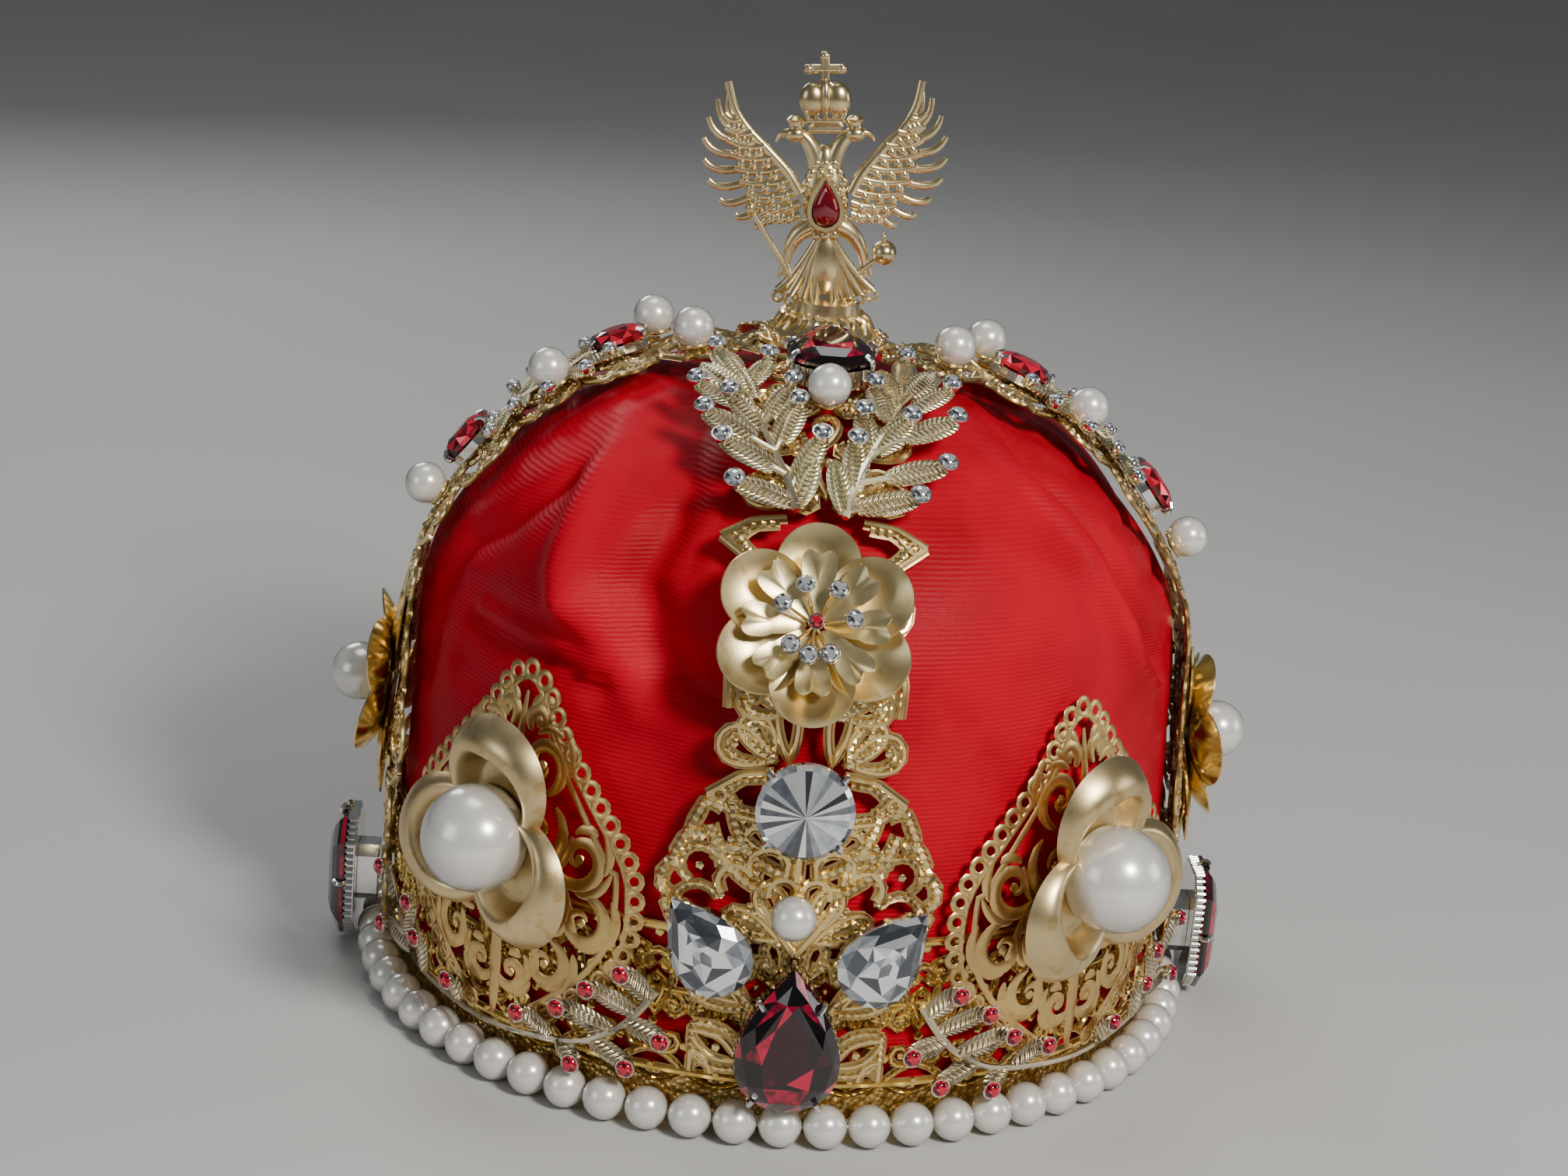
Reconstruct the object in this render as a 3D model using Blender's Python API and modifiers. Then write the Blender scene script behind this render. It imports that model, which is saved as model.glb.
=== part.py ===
"""Costume crown: a pierced band on a string of rim beads, four arches, a velvet cap and a set of ornaments.

Sizes are in millimetres and become metres where a mesh is finished. +Z is up and the front faces -Y.
Places on the crown are given by an azimuth in degrees, which is 0 at the front and grows to the right.
"""

import math

import bmesh
import bpy
import numpy as np
from mathutils import Matrix, Vector

MM = 0.001
GAP = 0.3  # clearance between two pieces that rest on each other
AXIS_BACK = 2.5  # the crown's axis lies this far behind the middle of its box

BEADS = 62
BEAD_RADIUS = 5.0
BEAD_CIRCLE = 99.5
THREAD_RADIUS = 2.4

BAND_RADIUS = 95.5
BAND_FOOT_RADIUS = 93.2  # the foot of the band stands inside the beads
BAND_HEIGHT = 48.0
METAL = 1.4
BAND_COLUMNS = 28
# Height of each line round the band, and its radius. The two rows above the flare are pierced.
BAND_LINES = [(0.0, BAND_FOOT_RADIUS), (9.4, BAND_FOOT_RADIUS), (13.0, BAND_RADIUS), (30.5, BAND_RADIUS),
              (BAND_HEIGHT, BAND_RADIUS)]

# Middle line of an arch from its foot to the top: radius, height.
ARCH_LINE = [(98.4, 12.0), (98.4, 48.0), (97.8, 56.0), (96.7, 68.0), (95.7, 80.0), (94.6, 100.0), (91.3, 111.0),
             (85.2, 121.5), (78.3, 131.0), (70.2, 140.0), (60.0, 147.8), (45.0, 155.0), (28.0, 159.0), (14.0, 160.4)]
# Distance along the arch and its half width there.
ARCH_WIDTH = [(0, 21), (16, 21), (32, 23), (42, 29), (48, 30.5), (56, 26.5), (66, 22), (82, 22.5), (94, 20.5),
              (108, 19), (118, 20), (124, 21), (127, 23), (134, 19), (150, 19), (165, 19), (178, 17), (190, 14.5),
              (197, 12.6)]
ARCH_STATIONS = [0, 16, 33, 43, 49, 57, 68, 82, 96, 110, 122, 127, 137, 153, 170, 184, 197]
ARCH_HOLE_ROWS = (1, 6, 7, 8, 12, 13)
ARCHES = {"front": 0.0, "right": 90.0, "back": 180.0, "left": 270.0}

PLATE_AZIMUTH = 42.5
CORNERS = {"front_left": -PLATE_AZIMUTH, "front_right": PLATE_AZIMUTH,
           "back_right": 180.0 - PLATE_AZIMUTH, "back_left": 180.0 + PLATE_AZIMUTH}
PLATE_METAL = 1.0
# Height of each line across a pointed plate, its radius there and its half width round the crown.
PLATE_LINES = [(13.0, 98.0, 5.0), (22.0, 98.0, 19.0), (37.0, 98.0, 34.5), (52.0, 97.8, 37.3), (65.0, 96.5, 30.8),
               (82.0, 94.0, 15.0), (95.0, 91.8, 5.4), (99.5, 91.0, 2.4)]
PLATE_HOLES = {(1, 1), (2, 1), (1, 3), (2, 3), (1, 4), (2, 4)}

# Cap: height of each line, its radius, and how far it bulges between the arches in front and behind.
CAP_WALL = 1.6
CAP_COLUMNS = 28
CAP_LINES = [(1.0, 91.0, 0.0, 0.0), (10.5, 91.0, 0.0, 0.0), (16.0, 93.3, 0.0, 0.0), (52.0, 93.3, 0.0, 0.0),
             (98.0, 88.9, -1.5, -0.5), (113.0, 84.6, 1.5, 8.5), (127.0, 75.0, 4.0, 13.0), (140.0, 61.0, 3.5, 12.0),
             (149.0, 44.0, 2.0, 7.0), (154.0, 22.0, 0.3, 1.5), (155.4, 0.0, 0.0, 0.0)]
CAP_SMOOTH_TOP = 40.0  # nearer to the axis than this, the folds fade out
# Folds of the cap: azimuth, height, half width round the crown in degrees, half height, depth.
CAP_FOLDS = [(-24.0, 106.0, 11.0, 30.0, 5.5), (-38.0, 128.0, 9.0, 14.0, -2.5), (-58.0, 112.0, 10.0, 22.0, 2.5),
             (52.0, 118.0, 10.0, 22.0, 2.5), (140.0, 112.0, 10.0, 24.0, 3.0), (222.0, 116.0, 11.0, 22.0, 3.0)]

ROSE_CENTRE = (106.3, 60.2)  # radius and height of the middle of its big pearl
ROSE_PEARL_RADIUS = 12.25
ROSE_RADIUS = 28.5
ROSE_METAL = 1.2

GARNET_SIZE = (23.3, 34.0)
GARNET_CENTRE = (105.0, 28.3)
PEAR_CRYSTAL_SIZE = (18.0, 25.0)
TOP_GARNET_SIZE = (20.0, 23.0)
SIDE_GARNET_SIZE = (22.0, 31.0)
PEAR_CLAWS = (2, 10, 5, 7)  # corners of a drop outline, counted from its point
CLAW_RADIUS = 0.6
CLAW_OUT = 1.1  # a claw's wire passes the girdle at this distance
OVAL_SIZE = (10.5, 14.0)

EAGLE_LEAN = 4.7  # degrees to the left, as the finial is bent on its foot
EAGLE_BASE = 168.6
# Wing of the eagle in its own plane: tip of each feather from the top one down, from the middle of the base.
FEATHER_TIPS = [(22.2, 54.2), (25.0, 50.6), (27.2, 46.4), (28.6, 41.6), (28.6, 36.2), (27.6, 31.4), (24.6, 26.4),
                (20.6, 22.8), (16.0, 20.6)]
SHOULDER = (5.0, 32.0)
ELBOW = (14.0, 41.0)

FINISHES = {
    "champagne_gold": ((0.72, 0.60, 0.36), 1.0, 0.30),
    "satin_gold": ((0.70, 0.60, 0.40), 1.0, 0.42),
    "bright_silver": ((0.82, 0.82, 0.80), 1.0, 0.15),
    "pearl": ((0.86, 0.86, 0.83), 0.0, 0.22),
    "garnet": ((0.10, 0.005, 0.02), 0.0, 0.06),
    "ruby": ((0.60, 0.01, 0.03), 0.0, 0.06),
    "crystal": ((0.80, 0.86, 0.90), 0.0, 0.04),
    "velvet": ((0.62, 0.01, 0.03), 0.0, 0.85),
}

for old in list(bpy.data.objects):
    bpy.data.objects.remove(old)

PARTS = bpy.data.collections.new("costume_crown")
CUTTERS = bpy.data.collections.new("costume_crown_helpers")
bpy.context.scene.collection.children.link(PARTS)
bpy.context.scene.collection.children.link(CUTTERS)
CUTTERS.hide_render = True
AXIS = bpy.data.objects.new("crown_axis", None)
AXIS.location = (0.0, AXIS_BACK * MM, 0.0)
PARTS.objects.link(AXIS)


def material(name):
    """The Principled material of one finish, made when it is first asked for."""
    made = bpy.data.materials.get(name)
    if made is None:
        colour, metallic, roughness = FINISHES[name]
        made = bpy.data.materials.new(name)
        made.use_nodes = True
        shader = made.node_tree.nodes["Principled BSDF"]
        shader.inputs["Base Color"].default_value = (*colour, 1.0)
        shader.inputs["Metallic"].default_value = metallic
        shader.inputs["Roughness"].default_value = roughness
        made.diffuse_color = (*colour, 1.0)
    return made


def in_metres(matrix):
    """The same placing, with its translation in metres."""
    placed = matrix.copy()
    placed.translation = matrix.translation * MM
    return placed


def finished(name, bm, finish, at=Matrix(), wall=0.0, even=True, helper=False):
    """Make an object of a bmesh in millimetres, place it on the crown's axis and give it its finish."""
    bmesh.ops.recalc_face_normals(bm, faces=bm.faces)
    bmesh.ops.scale(bm, vec=(MM, MM, MM), verts=bm.verts)
    mesh = bpy.data.meshes.new(name)
    bm.to_mesh(mesh)
    bm.free()
    mesh.shade_smooth()
    mesh.set_sharp_from_angle(angle=math.radians(35))
    mesh.materials.append(material(finish))
    made = bpy.data.objects.new(name, mesh)
    (CUTTERS if helper else PARTS).objects.link(made)
    made.parent = AXIS
    made.matrix_basis = in_metres(at)
    if helper:
        made.hide_render = True
        made.display_type = "WIRE"
    if wall:
        shell = made.modifiers.new("Wall", "SOLIDIFY")
        shell.thickness = wall * MM
        shell.offset = 0.0
        shell.use_even_offset = even
    return made


def fused(name, pieces, finish, at=Matrix(), wall=0.0, even=True):
    """One body: the first piece, with its wall if it has one, joined to the others by a Boolean union."""
    body = finished(name, pieces[0], finish, at, wall, even)
    others = bpy.data.collections.new(name + "_pieces")
    CUTTERS.children.link(others)
    others.hide_render = True
    for number, piece in enumerate(pieces[1:]):
        made = finished(f"{name}_piece_{number}", piece, finish, at, helper=True)
        CUTTERS.objects.unlink(made)
        others.objects.link(made)
    join = body.modifiers.new("Join", "BOOLEAN")
    join.operation = "UNION"
    join.operand_type = "COLLECTION"
    join.collection = others
    join.solver = "EXACT"
    return body


def moved(bm, matrix):
    """The same bmesh after a transform."""
    bmesh.ops.transform(bm, matrix=matrix, verts=bm.verts)
    return bm


def facing(azimuth, radius, height, tilt=0.0, turn=0.0):
    """Placing whose Z points away from the crown, raised by tilt, with Y up it and X round it to the right."""
    a = math.radians(azimuth)
    t = math.radians(tilt)
    out = Vector((math.sin(a), -math.cos(a), 0.0))
    side = Vector((math.cos(a), math.sin(a), 0.0))
    normal = out * math.cos(t) + Vector((0, 0, math.sin(t)))
    up = normal.cross(side)
    matrix = Matrix((side, up, normal)).transposed().to_4x4()
    matrix.translation = out * radius + Vector((0, 0, height))
    return matrix @ Matrix.Rotation(math.radians(turn), 4, "Z")


def smooth_line(rows, steps=12):
    """Points of a smooth curve through the rows, as a Catmull-Rom spline."""
    points = np.array(rows, float)
    points = np.vstack([2 * points[0] - points[1], points, 2 * points[-1] - points[-2]])
    found = []
    for a, b, c, d in zip(points[:-3], points[1:-2], points[2:-1], points[3:]):
        for t in np.linspace(0.0, 1.0, steps, endpoint=False):
            found.append(0.5 * (2 * b + (c - a) * t + (2 * a - 5 * b + 4 * c - d) * t * t
                                + (3 * b - a - 3 * c + d) * t ** 3))
    found.append(points[-2])
    return np.array(found)


ARCH_CURVE = smooth_line(ARCH_LINE)
ARCH_LENGTHS = np.concatenate([[0.0], np.cumsum(np.hypot(*np.diff(ARCH_CURVE, axis=0).T))])
ARCH_SLOPES = np.gradient(ARCH_CURVE, axis=0)
SAG_RADII = ((60.0, 160.0), (98.0, 160.0))  # an arch is bent across: round the band at its foot, flatter above


def at_rows(rows, value, column):
    """The table's value in a column, read between its rows."""
    return float(np.interp(value, [row[0] for row in rows], [row[column] for row in rows]))


def on_arch(azimuth, across, along, lift=0.0, turn=0.0):
    """Placing on an arch's middle surface, lifted off it: Z out of the arch, Y along it, X across it."""
    radius, height = (np.interp(along, ARCH_LENGTHS, ARCH_CURVE[:, k]) for k in (0, 1))
    slope = Vector([np.interp(along, ARCH_LENGTHS, ARCH_SLOPES[:, k]) for k in (0, 1)]).normalized()
    bend = float(np.interp(height, *SAG_RADII))
    a = math.radians(azimuth)
    out = Vector((math.sin(a), -math.cos(a), 0.0))
    side = Vector((math.cos(a), math.sin(a), 0.0))
    along_arch = out * slope[0] + Vector((0, 0, slope[1]))
    normal = (side.cross(along_arch) + side * (across / bend)).normalized()
    x_axis = along_arch.cross(normal).normalized()
    matrix = Matrix((x_axis, normal.cross(x_axis), normal)).transposed().to_4x4()
    matrix.translation = (out * (radius - across ** 2 / (2 * bend)) + side * across + Vector((0, 0, height))
                          + normal * lift)
    return matrix @ Matrix.Rotation(math.radians(turn), 4, "Z")


def sheet(columns, rows, place, holes=None, border=0.2):
    """An open sheet of columns x rows faces. A cell that holes(column, row) names is cut through."""
    bm = bmesh.new()
    bmesh.ops.create_grid(bm, x_segments=columns, y_segments=rows, size=0.5)
    bmesh.ops.scale(bm, vec=(columns, rows, 1), verts=bm.verts)
    bmesh.ops.translate(bm, vec=(columns / 2, rows / 2, 0), verts=bm.verts)
    if holes:
        middles = [(face, face.calc_center_median()) for face in bm.faces]
        cut = [face for face, middle in middles if holes(int(middle.x), int(middle.y))]
        bmesh.ops.inset_individual(bm, faces=cut, thickness=border, use_even_offset=True)
        bmesh.ops.delete(bm, geom=cut, context="FACES")
    for vertex in bm.verts:
        vertex.co = place(vertex.co.x / columns, vertex.co.y / rows)
    bmesh.ops.remove_doubles(bm, verts=bm.verts, dist=1e-3)
    return bm


def stack(outline, rings):
    """A closed solid from one outline: each ring gives the outline's scale and its height."""
    bm = bmesh.new()
    last, height = rings[0]
    face = bm.faces.new([bm.verts.new((x * last, y * last, height)) for x, y in outline])
    for number, (scale, height) in enumerate(rings[1:]):
        grown = bmesh.ops.extrude_face_region(bm, geom=[face])["geom"]
        if number:
            bmesh.ops.delete(bm, geom=[face], context="FACES_ONLY")
        face = next(item for item in grown if isinstance(item, bmesh.types.BMFace))
        for vertex in face.verts:
            vertex.co = (vertex.co.x * scale / last, vertex.co.y * scale / last, height)
        last = scale
    return bm


def ball(radius, sides=10, rings=4):
    """A round bead with its poles up and down."""
    bm = bmesh.new()
    bmesh.ops.create_uvsphere(bm, u_segments=sides, v_segments=rings, radius=radius)
    return bm


def leaf(length, width, thickness):
    """A pointed leaf with a ridge, from its stalk at the origin along +Y."""
    bm = bmesh.new()
    bmesh.ops.create_uvsphere(bm, u_segments=4, v_segments=2, radius=0.5)
    bmesh.ops.rotate(bm, matrix=Matrix.Rotation(math.radians(90), 3, "X"), verts=bm.verts)
    bmesh.ops.scale(bm, vec=(width, length, thickness), verts=bm.verts)
    bmesh.ops.translate(bm, vec=(0, length / 2, 0), verts=bm.verts)
    return bm


def wire(points, radius, resolution=0, radii=None, cyclic=False):
    """A round wire through the points, as a closed bmesh in millimetres."""
    curve = bpy.data.curves.new("wire", "CURVE")
    curve.dimensions = "3D"
    curve.bevel_depth = radius
    curve.bevel_resolution = resolution
    curve.use_fill_caps = not cyclic
    spline = curve.splines.new("POLY")
    spline.points.add(len(points) - 1)
    spline.use_cyclic_u = cyclic
    for number, (point, at) in enumerate(zip(spline.points, points)):
        point.co = (*at, 1.0)
        point.radius = radii[number] if radii else 1.0
    guide = bpy.data.objects.new("wire", curve)
    CUTTERS.objects.link(guide)
    mesh = bpy.data.meshes.new_from_object(guide.evaluated_get(bpy.context.evaluated_depsgraph_get()))
    bpy.data.objects.remove(guide)
    bm = bmesh.new()
    bm.from_mesh(mesh)
    bpy.data.meshes.remove(mesh)
    bmesh.ops.remove_doubles(bm, verts=bm.verts, dist=1e-3)
    return bm


def flat(outline, thickness):
    """A flat plate of a 2D outline, as a closed bmesh in millimetres."""
    curve = bpy.data.curves.new("outline", "CURVE")
    curve.dimensions = "2D"
    curve.fill_mode = "BOTH"
    curve.extrude = thickness / 2
    spline = curve.splines.new("POLY")
    spline.points.add(len(outline) - 1)
    spline.use_cyclic_u = True
    for point, (x, y) in zip(spline.points, outline):
        point.co = (x, y, 0.0, 1.0)
    guide = bpy.data.objects.new("outline", curve)
    CUTTERS.objects.link(guide)
    mesh = bpy.data.meshes.new_from_object(guide.evaluated_get(bpy.context.evaluated_depsgraph_get()))
    bpy.data.objects.remove(guide)
    bm = bmesh.new()
    bm.from_mesh(mesh)
    bpy.data.meshes.remove(mesh)
    bmesh.ops.remove_doubles(bm, verts=bm.verts, dist=1e-3)
    return bm


def pear(width, height, points=12):
    """Drop outline with its point up."""
    turns = [2 * math.pi * k / points for k in range(points)]
    fullest = 0.7698  # the largest value of sin(t) * sin(t / 2)
    return [(-width / 2 * math.sin(t) * math.sin(t / 2) / fullest, height / 2 * math.cos(t)) for t in turns]


def oval(width, height, points=12):
    """Ellipse outline, with a flat side at the top."""
    turns = [2 * math.pi * (k + 0.5) / points for k in range(points)]
    return [(-width / 2 * math.sin(t), height / 2 * math.cos(t)) for t in turns]


def eight_sided(width, height, corner):
    """Rectangle outline with its corners cut off."""
    x, y = width / 2, height / 2
    return [(x - corner, y), (corner - x, y), (-x, y - corner), (-x, corner - y), (corner - x, -y),
            (x - corner, -y), (x, corner - y), (x, y - corner)]


def cut_stone(outline, pavilion, crown, table=0.6):
    """A cut stone whose girdle lies at height 0: tapered back, thin girdle, sloped crown and flat table."""
    return stack(outline, [(0.55, -pavilion), (0.98, -0.5), (1.0, 0.5), (table, crown)])


def claw_setting(outline, floor, seat, claws, scale=0.9, foot=None):
    """Silver tray behind a stone, from floor to seat, with claws bent over the stone's girdle.

    foot gives the scale of a narrower foot under the tray and the height of its top.
    """
    rings = [(scale, floor), (scale, seat)]
    if foot:
        rings = [(foot[0], floor), foot, (scale, foot[1]), (scale, seat)]
    pieces = [stack(outline, rings)]
    for x, y in claws:
        edge = Vector((x, y, 0.0))
        step = edge.normalized()
        low = seat - (0.2 if foot else 0.8)
        route = [edge * (scale - 0.12) + Vector((0, 0, low)),
                 edge + step * CLAW_OUT + Vector((0, 0, -1.2)),
                 edge + step * CLAW_OUT + Vector((0, 0, 1.2)),
                 edge - step * 0.6 + Vector((0, 0, 2.3))]
        pieces.append(wire(route, CLAW_RADIUS))
    return pieces


def polar(columns, rows, reach, height, seat=0.0):
    """A cupped flower seen from above: reach(angle) is its outline and height(share, angle) its dish.

    With a seat, the first row is a flat disc of that radius and the dish starts at its edge.
    """
    def place(u, v):
        angle = 2 * math.pi * u
        share = v
        if seat:
            share = max(0.0, (v * rows - 1) / (rows - 1))
        radius = seat * min(1.0, v * rows) + (reach(angle) - seat) * share
        return Vector((radius * math.cos(angle), radius * math.sin(angle), height(share, angle)))
    return sheet(columns, rows, place)


def lobes(angle, count, turn=0.0):
    """1 in the middle of each petal and 0 at the cleft between two."""
    return abs(math.cos(count * (angle - math.radians(turn)) / 2))


def band():
    """Pierced wall of the crown, with a foot behind the beads and a flare over them."""
    def place(u, v):
        line = v * (len(BAND_LINES) - 1)
        number = min(int(line), len(BAND_LINES) - 2)
        share = line - number
        low, high = BAND_LINES[number], BAND_LINES[number + 1]
        height, radius = (low[k] + (high[k] - low[k]) * share for k in (0, 1))
        a = 2 * math.pi * u
        return Vector((radius * math.sin(a), -radius * math.cos(a), height))

    def holes(column, row):
        return row >= 2 and (column + row) % 2 == 0

    finished("base_band", sheet(BAND_COLUMNS, 4, place, holes, 0.18), "champagne_gold", wall=METAL)


def rim_pearls():
    """String of beads round the foot, fused on their thread."""
    profile = [(-0.5, THREAD_RADIUS), (-0.2, 0.95 * BEAD_RADIUS), (0.2, 0.95 * BEAD_RADIUS)]
    points, radii = [], []
    for bead in range(BEADS):
        for share, radius in profile:
            a = 2 * math.pi * (bead + share) / BEADS
            points.append((BEAD_CIRCLE * math.sin(a), -BEAD_CIRCLE * math.cos(a), BEAD_RADIUS))
            radii.append(radius)
    finished("rim_pearls", wire(points, 1.0, 3, radii, cyclic=True), "pearl")


def arch(name, azimuth):
    """Pierced strip from the foot of the band to the top."""
    rows = len(ARCH_STATIONS) - 1

    def place(u, v):
        along = float(np.interp(v * rows, range(rows + 1), ARCH_STATIONS))
        return on_arch(azimuth, (2 * u - 1) * at_rows(ARCH_WIDTH, along, 1), along).translation

    cells = sheet(2, rows, place, lambda column, row: row in ARCH_HOLE_ROWS, 0.2)
    finished("arch_" + name, cells, "champagne_gold", wall=METAL)


def point_plate(name, azimuth):
    """Thin pointed plate that stands on the outside of the band."""
    rows = len(PLATE_LINES) - 1

    def place(u, v):
        height, radius, half = (np.interp(v * rows, range(rows + 1), [line[k] for line in PLATE_LINES])
                                for k in range(3))
        a = math.radians(azimuth) + (2 * u - 1) * half / radius
        return Vector((radius * math.sin(a), -radius * math.cos(a), height))

    cells = sheet(4, rows, place, lambda column, row: (column, row) in PLATE_HOLES, 0.2)
    finished("point_plate_" + name, cells, "champagne_gold", wall=PLATE_METAL)


def cap_point(azimuth, line):
    """Point of the cap's middle surface; line counts the rows of its table."""
    height, radius, front, back = (np.interp(line, range(len(CAP_LINES)), [row[k] for row in CAP_LINES])
                                   for k in range(4))
    between = max(0.0, abs(math.sin(math.radians(2 * azimuth))) - 0.35) / 0.65
    backward = 0.5 - 0.5 * math.cos(math.radians(azimuth))
    radius += between * (front + (back - front) * backward)
    for fold_azimuth, fold_height, half_width, half_height, depth in CAP_FOLDS:
        away = (azimuth - fold_azimuth + 180.0) % 360.0 - 180.0
        fold = depth * math.exp(-(away / half_width) ** 2 - ((height - fold_height) / half_height) ** 2)
        radius -= fold * min(1.0, radius / CAP_SMOOTH_TOP)
    a = math.radians(azimuth)
    return Vector((radius * math.sin(a), -radius * math.cos(a), height))


def cap():
    """Stretch velvet cap, open at the bottom, that shows through the pierced metal."""
    rows = len(CAP_LINES) - 1
    cloth = sheet(CAP_COLUMNS, rows, lambda u, v: cap_point(360.0 * u, v * rows))
    finished("cap", cloth, "velvet", wall=CAP_WALL)


def rose(name, azimuth):
    """Three satin petals round a big half-drilled pearl that is glued in by its flat back."""
    def reach(angle):
        return 13.5 + (ROSE_RADIUS - 13.5) * lobes(angle, 3, 95.0) ** 0.45

    def dish(share, angle):
        return 6.5 * math.sin(math.pi * share * 0.58) * (0.35 + 0.65 * lobes(angle, 3, 95.0))

    radius, height = ROSE_CENTRE
    back = 5.6  # the pearl's flat back lies this far behind its middle
    at = facing(azimuth, radius - back - GAP - ROSE_METAL / 2, height)
    finished("rose_petals_" + name, polar(15, 3, reach, dish, seat=11.4), "satin_gold", at, wall=ROSE_METAL,
             even=False)
    pearl = ball(ROSE_PEARL_RADIUS, 12, 8)
    cut = bmesh.ops.bisect_plane(pearl, geom=pearl.verts[:] + pearl.edges[:] + pearl.faces[:],
                                 plane_co=(0, 0, -back), plane_no=(0, 0, -1), clear_outer=True)
    rim = [item for item in cut["geom_cut"] if isinstance(item, bmesh.types.BMEdge)]
    bmesh.ops.edgeloop_fill(pearl, edges=rim)
    finished("rose_pearl_" + name, pearl, "pearl", facing(azimuth, radius, height))


def stone_in_claws(name, outline, at, pavilion, crown, floor, claws, table=0.6, scale=0.9, foot=None):
    """A cut garnet and the claw setting that holds it, as two pieces."""
    finished(name, cut_stone(outline, pavilion, crown, table), "garnet", at)
    setting = claw_setting(outline, floor, -pavilion - GAP, claws, scale, foot)
    fused(name + "_setting", setting, "bright_silver", at)


def stone_with_cup(name, outline, at, pavilion, crown, floor, finish, table=0.6):
    """A small stone fused to the plain cup that it is glued in."""
    rings = [(0.9, floor), (1.0, -0.5), (1.0, 0.5), (table, crown)]
    finished(name, stack(outline, rings), finish, at)


OUTER_PETALS = 6
INNER_PETALS = 8
STAMENS = 7
STAMEN_CIRCLE = 7.6
PETAL_METAL = 0.8


def blossom():
    """Six round petals, eight narrow notched ones on them and a bunch of stamens with crystals."""
    at = on_arch(0.0, -1.3, 106.5, METAL / 2 + GAP + 0.4)

    def outer_reach(angle):
        return 13.5 + 9.2 * lobes(angle, OUTER_PETALS, 90.0) ** 0.5

    def outer_dish(share, angle):
        return 3.4 * share ** 2 + 0.8 * share * lobes(angle, OUTER_PETALS, 90.0)

    cup = polar(4 * OUTER_PETALS, 2, outer_reach, outer_dish)
    finished("blossom_outer_petals", cup, "satin_gold", at, wall=PETAL_METAL, even=False)

    def inner_reach(angle):
        return 7.0 + 9.0 * lobes(angle, INNER_PETALS, 90.0) ** 0.5

    def inner_dish(share, angle):
        return 1.1 + 3.2 * share ** 2 + 0.8 * share * lobes(angle, INNER_PETALS, 90.0)

    cup = polar(4 * INNER_PETALS, 2, inner_reach, inner_dish)
    finished("blossom_inner_petals", cup, "satin_gold", at, wall=PETAL_METAL, even=False)
    pieces = [stack(oval(5.4, 5.4, 8), [(1.0, 2.55), (0.7, 5.6)])]
    for number in range(STAMENS):
        a = 2 * math.pi * (number + 0.25) / STAMENS
        tip = Vector((STAMEN_CIRCLE * math.cos(a), STAMEN_CIRCLE * math.sin(a), 8.4))
        pieces.append(wire([(tip.x * 0.2, tip.y * 0.2, 4.0), tip * 0.98], 0.45))
        chaton = stack(oval(4.5, 4.5, 6), [(0.8, -1.0), (1.0, 0.3), (0.6, 1.4)])
        pieces.append(moved(chaton, Matrix.Translation(tip)))
    fused("blossom_stamens", pieces, "champagne_gold", at)


def front_stones():
    """The stones, crystals and pearls along the front arch."""
    radius, height = GARNET_CENTRE
    outline = pear(*GARNET_SIZE)
    stone_in_claws("front_garnet", outline, facing(0.0, radius, height), 3.6, 4.2, -5.6,
                   [outline[k] for k in PEAR_CLAWS], scale=0.8)
    crystal = on_arch(0.0, -0.6, 68.1, METAL / 2 + GAP + 4.4)
    rings = [(0.7, -4.2), (1.0, -0.8), (1.0, 1.0), (0.1, 4.6)]
    finished("round_crystal", stack(oval(21.5, 21.5, 14), rings), "crystal", crystal)
    for side, name in ((-1, "left"), (1, "right")):
        at = on_arch(0.0, side * 19.3, 36.0, METAL / 2 + GAP + 4.0, turn=side * -38.0)
        stone_with_cup("pear_crystal_" + name, pear(*PEAR_CRYSTAL_SIZE), at, 3.0, 3.2, -4.0, "crystal")
    finished("front_pearl_low", ball(5.0), "pearl", on_arch(0.0, -1.2, 44.0, METAL / 2 + GAP + 5.0))
    finished("front_pearl_top", ball(5.0), "pearl", on_arch(0.0, 0.0, 166.5, METAL / 2 + GAP + 5.0))
    outline = pear(*TOP_GARNET_SIZE)
    stone_in_claws("top_garnet", outline, on_arch(0.0, 0.5, 182.0, 7.4), 3.0, 3.4, -6.3,
                   [outline[k] for k in PEAR_CLAWS])


# Spray on the left above the blossom: its stem across the arch and along it, then each leaf's tip and where the
# leaf leaves the stem, counted in points of the stem. The spray on the right is its mirror image.
SPRAY_STEM = [(-6.0, 133.0), (-8.5, 141.0), (-12.0, 150.0), (-15.5, 160.0), (-18.0, 170.0)]
SPRAY_LEAVES = [(-20.5, 137.0, 0.6), (-23.5, 147.5, 1.4), (-26.5, 157.5, 2.3), (-27.5, 167.0, 3.1),
                (-22.0, 180.0, 4.0), (-12.5, 181.0, 3.8), (-8.0, 169.5, 2.6), (-3.2, 158.0, 1.2),
                (-1.6, 149.0, 0.4)]
SPRAY_LIFT = 2.6


def leaf_on_stem(stem, place, tip, width, thickness):
    """A leaf from a place along the stem to just past its tip, whose placing says which way the leaf faces."""
    number = min(int(place), len(stem) - 2)
    root = stem[number].lerp(stem[number + 1], place - number)
    reach = tip.translation - root
    y_axis = reach.normalized()
    x_axis = y_axis.cross(tip.col[2].to_3d()).normalized()
    at = Matrix((x_axis, y_axis, x_axis.cross(y_axis))).transposed().to_4x4()
    at.translation = root - y_axis * 0.6
    return moved(leaf(reach.length + 2.6, width, thickness), at)


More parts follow.
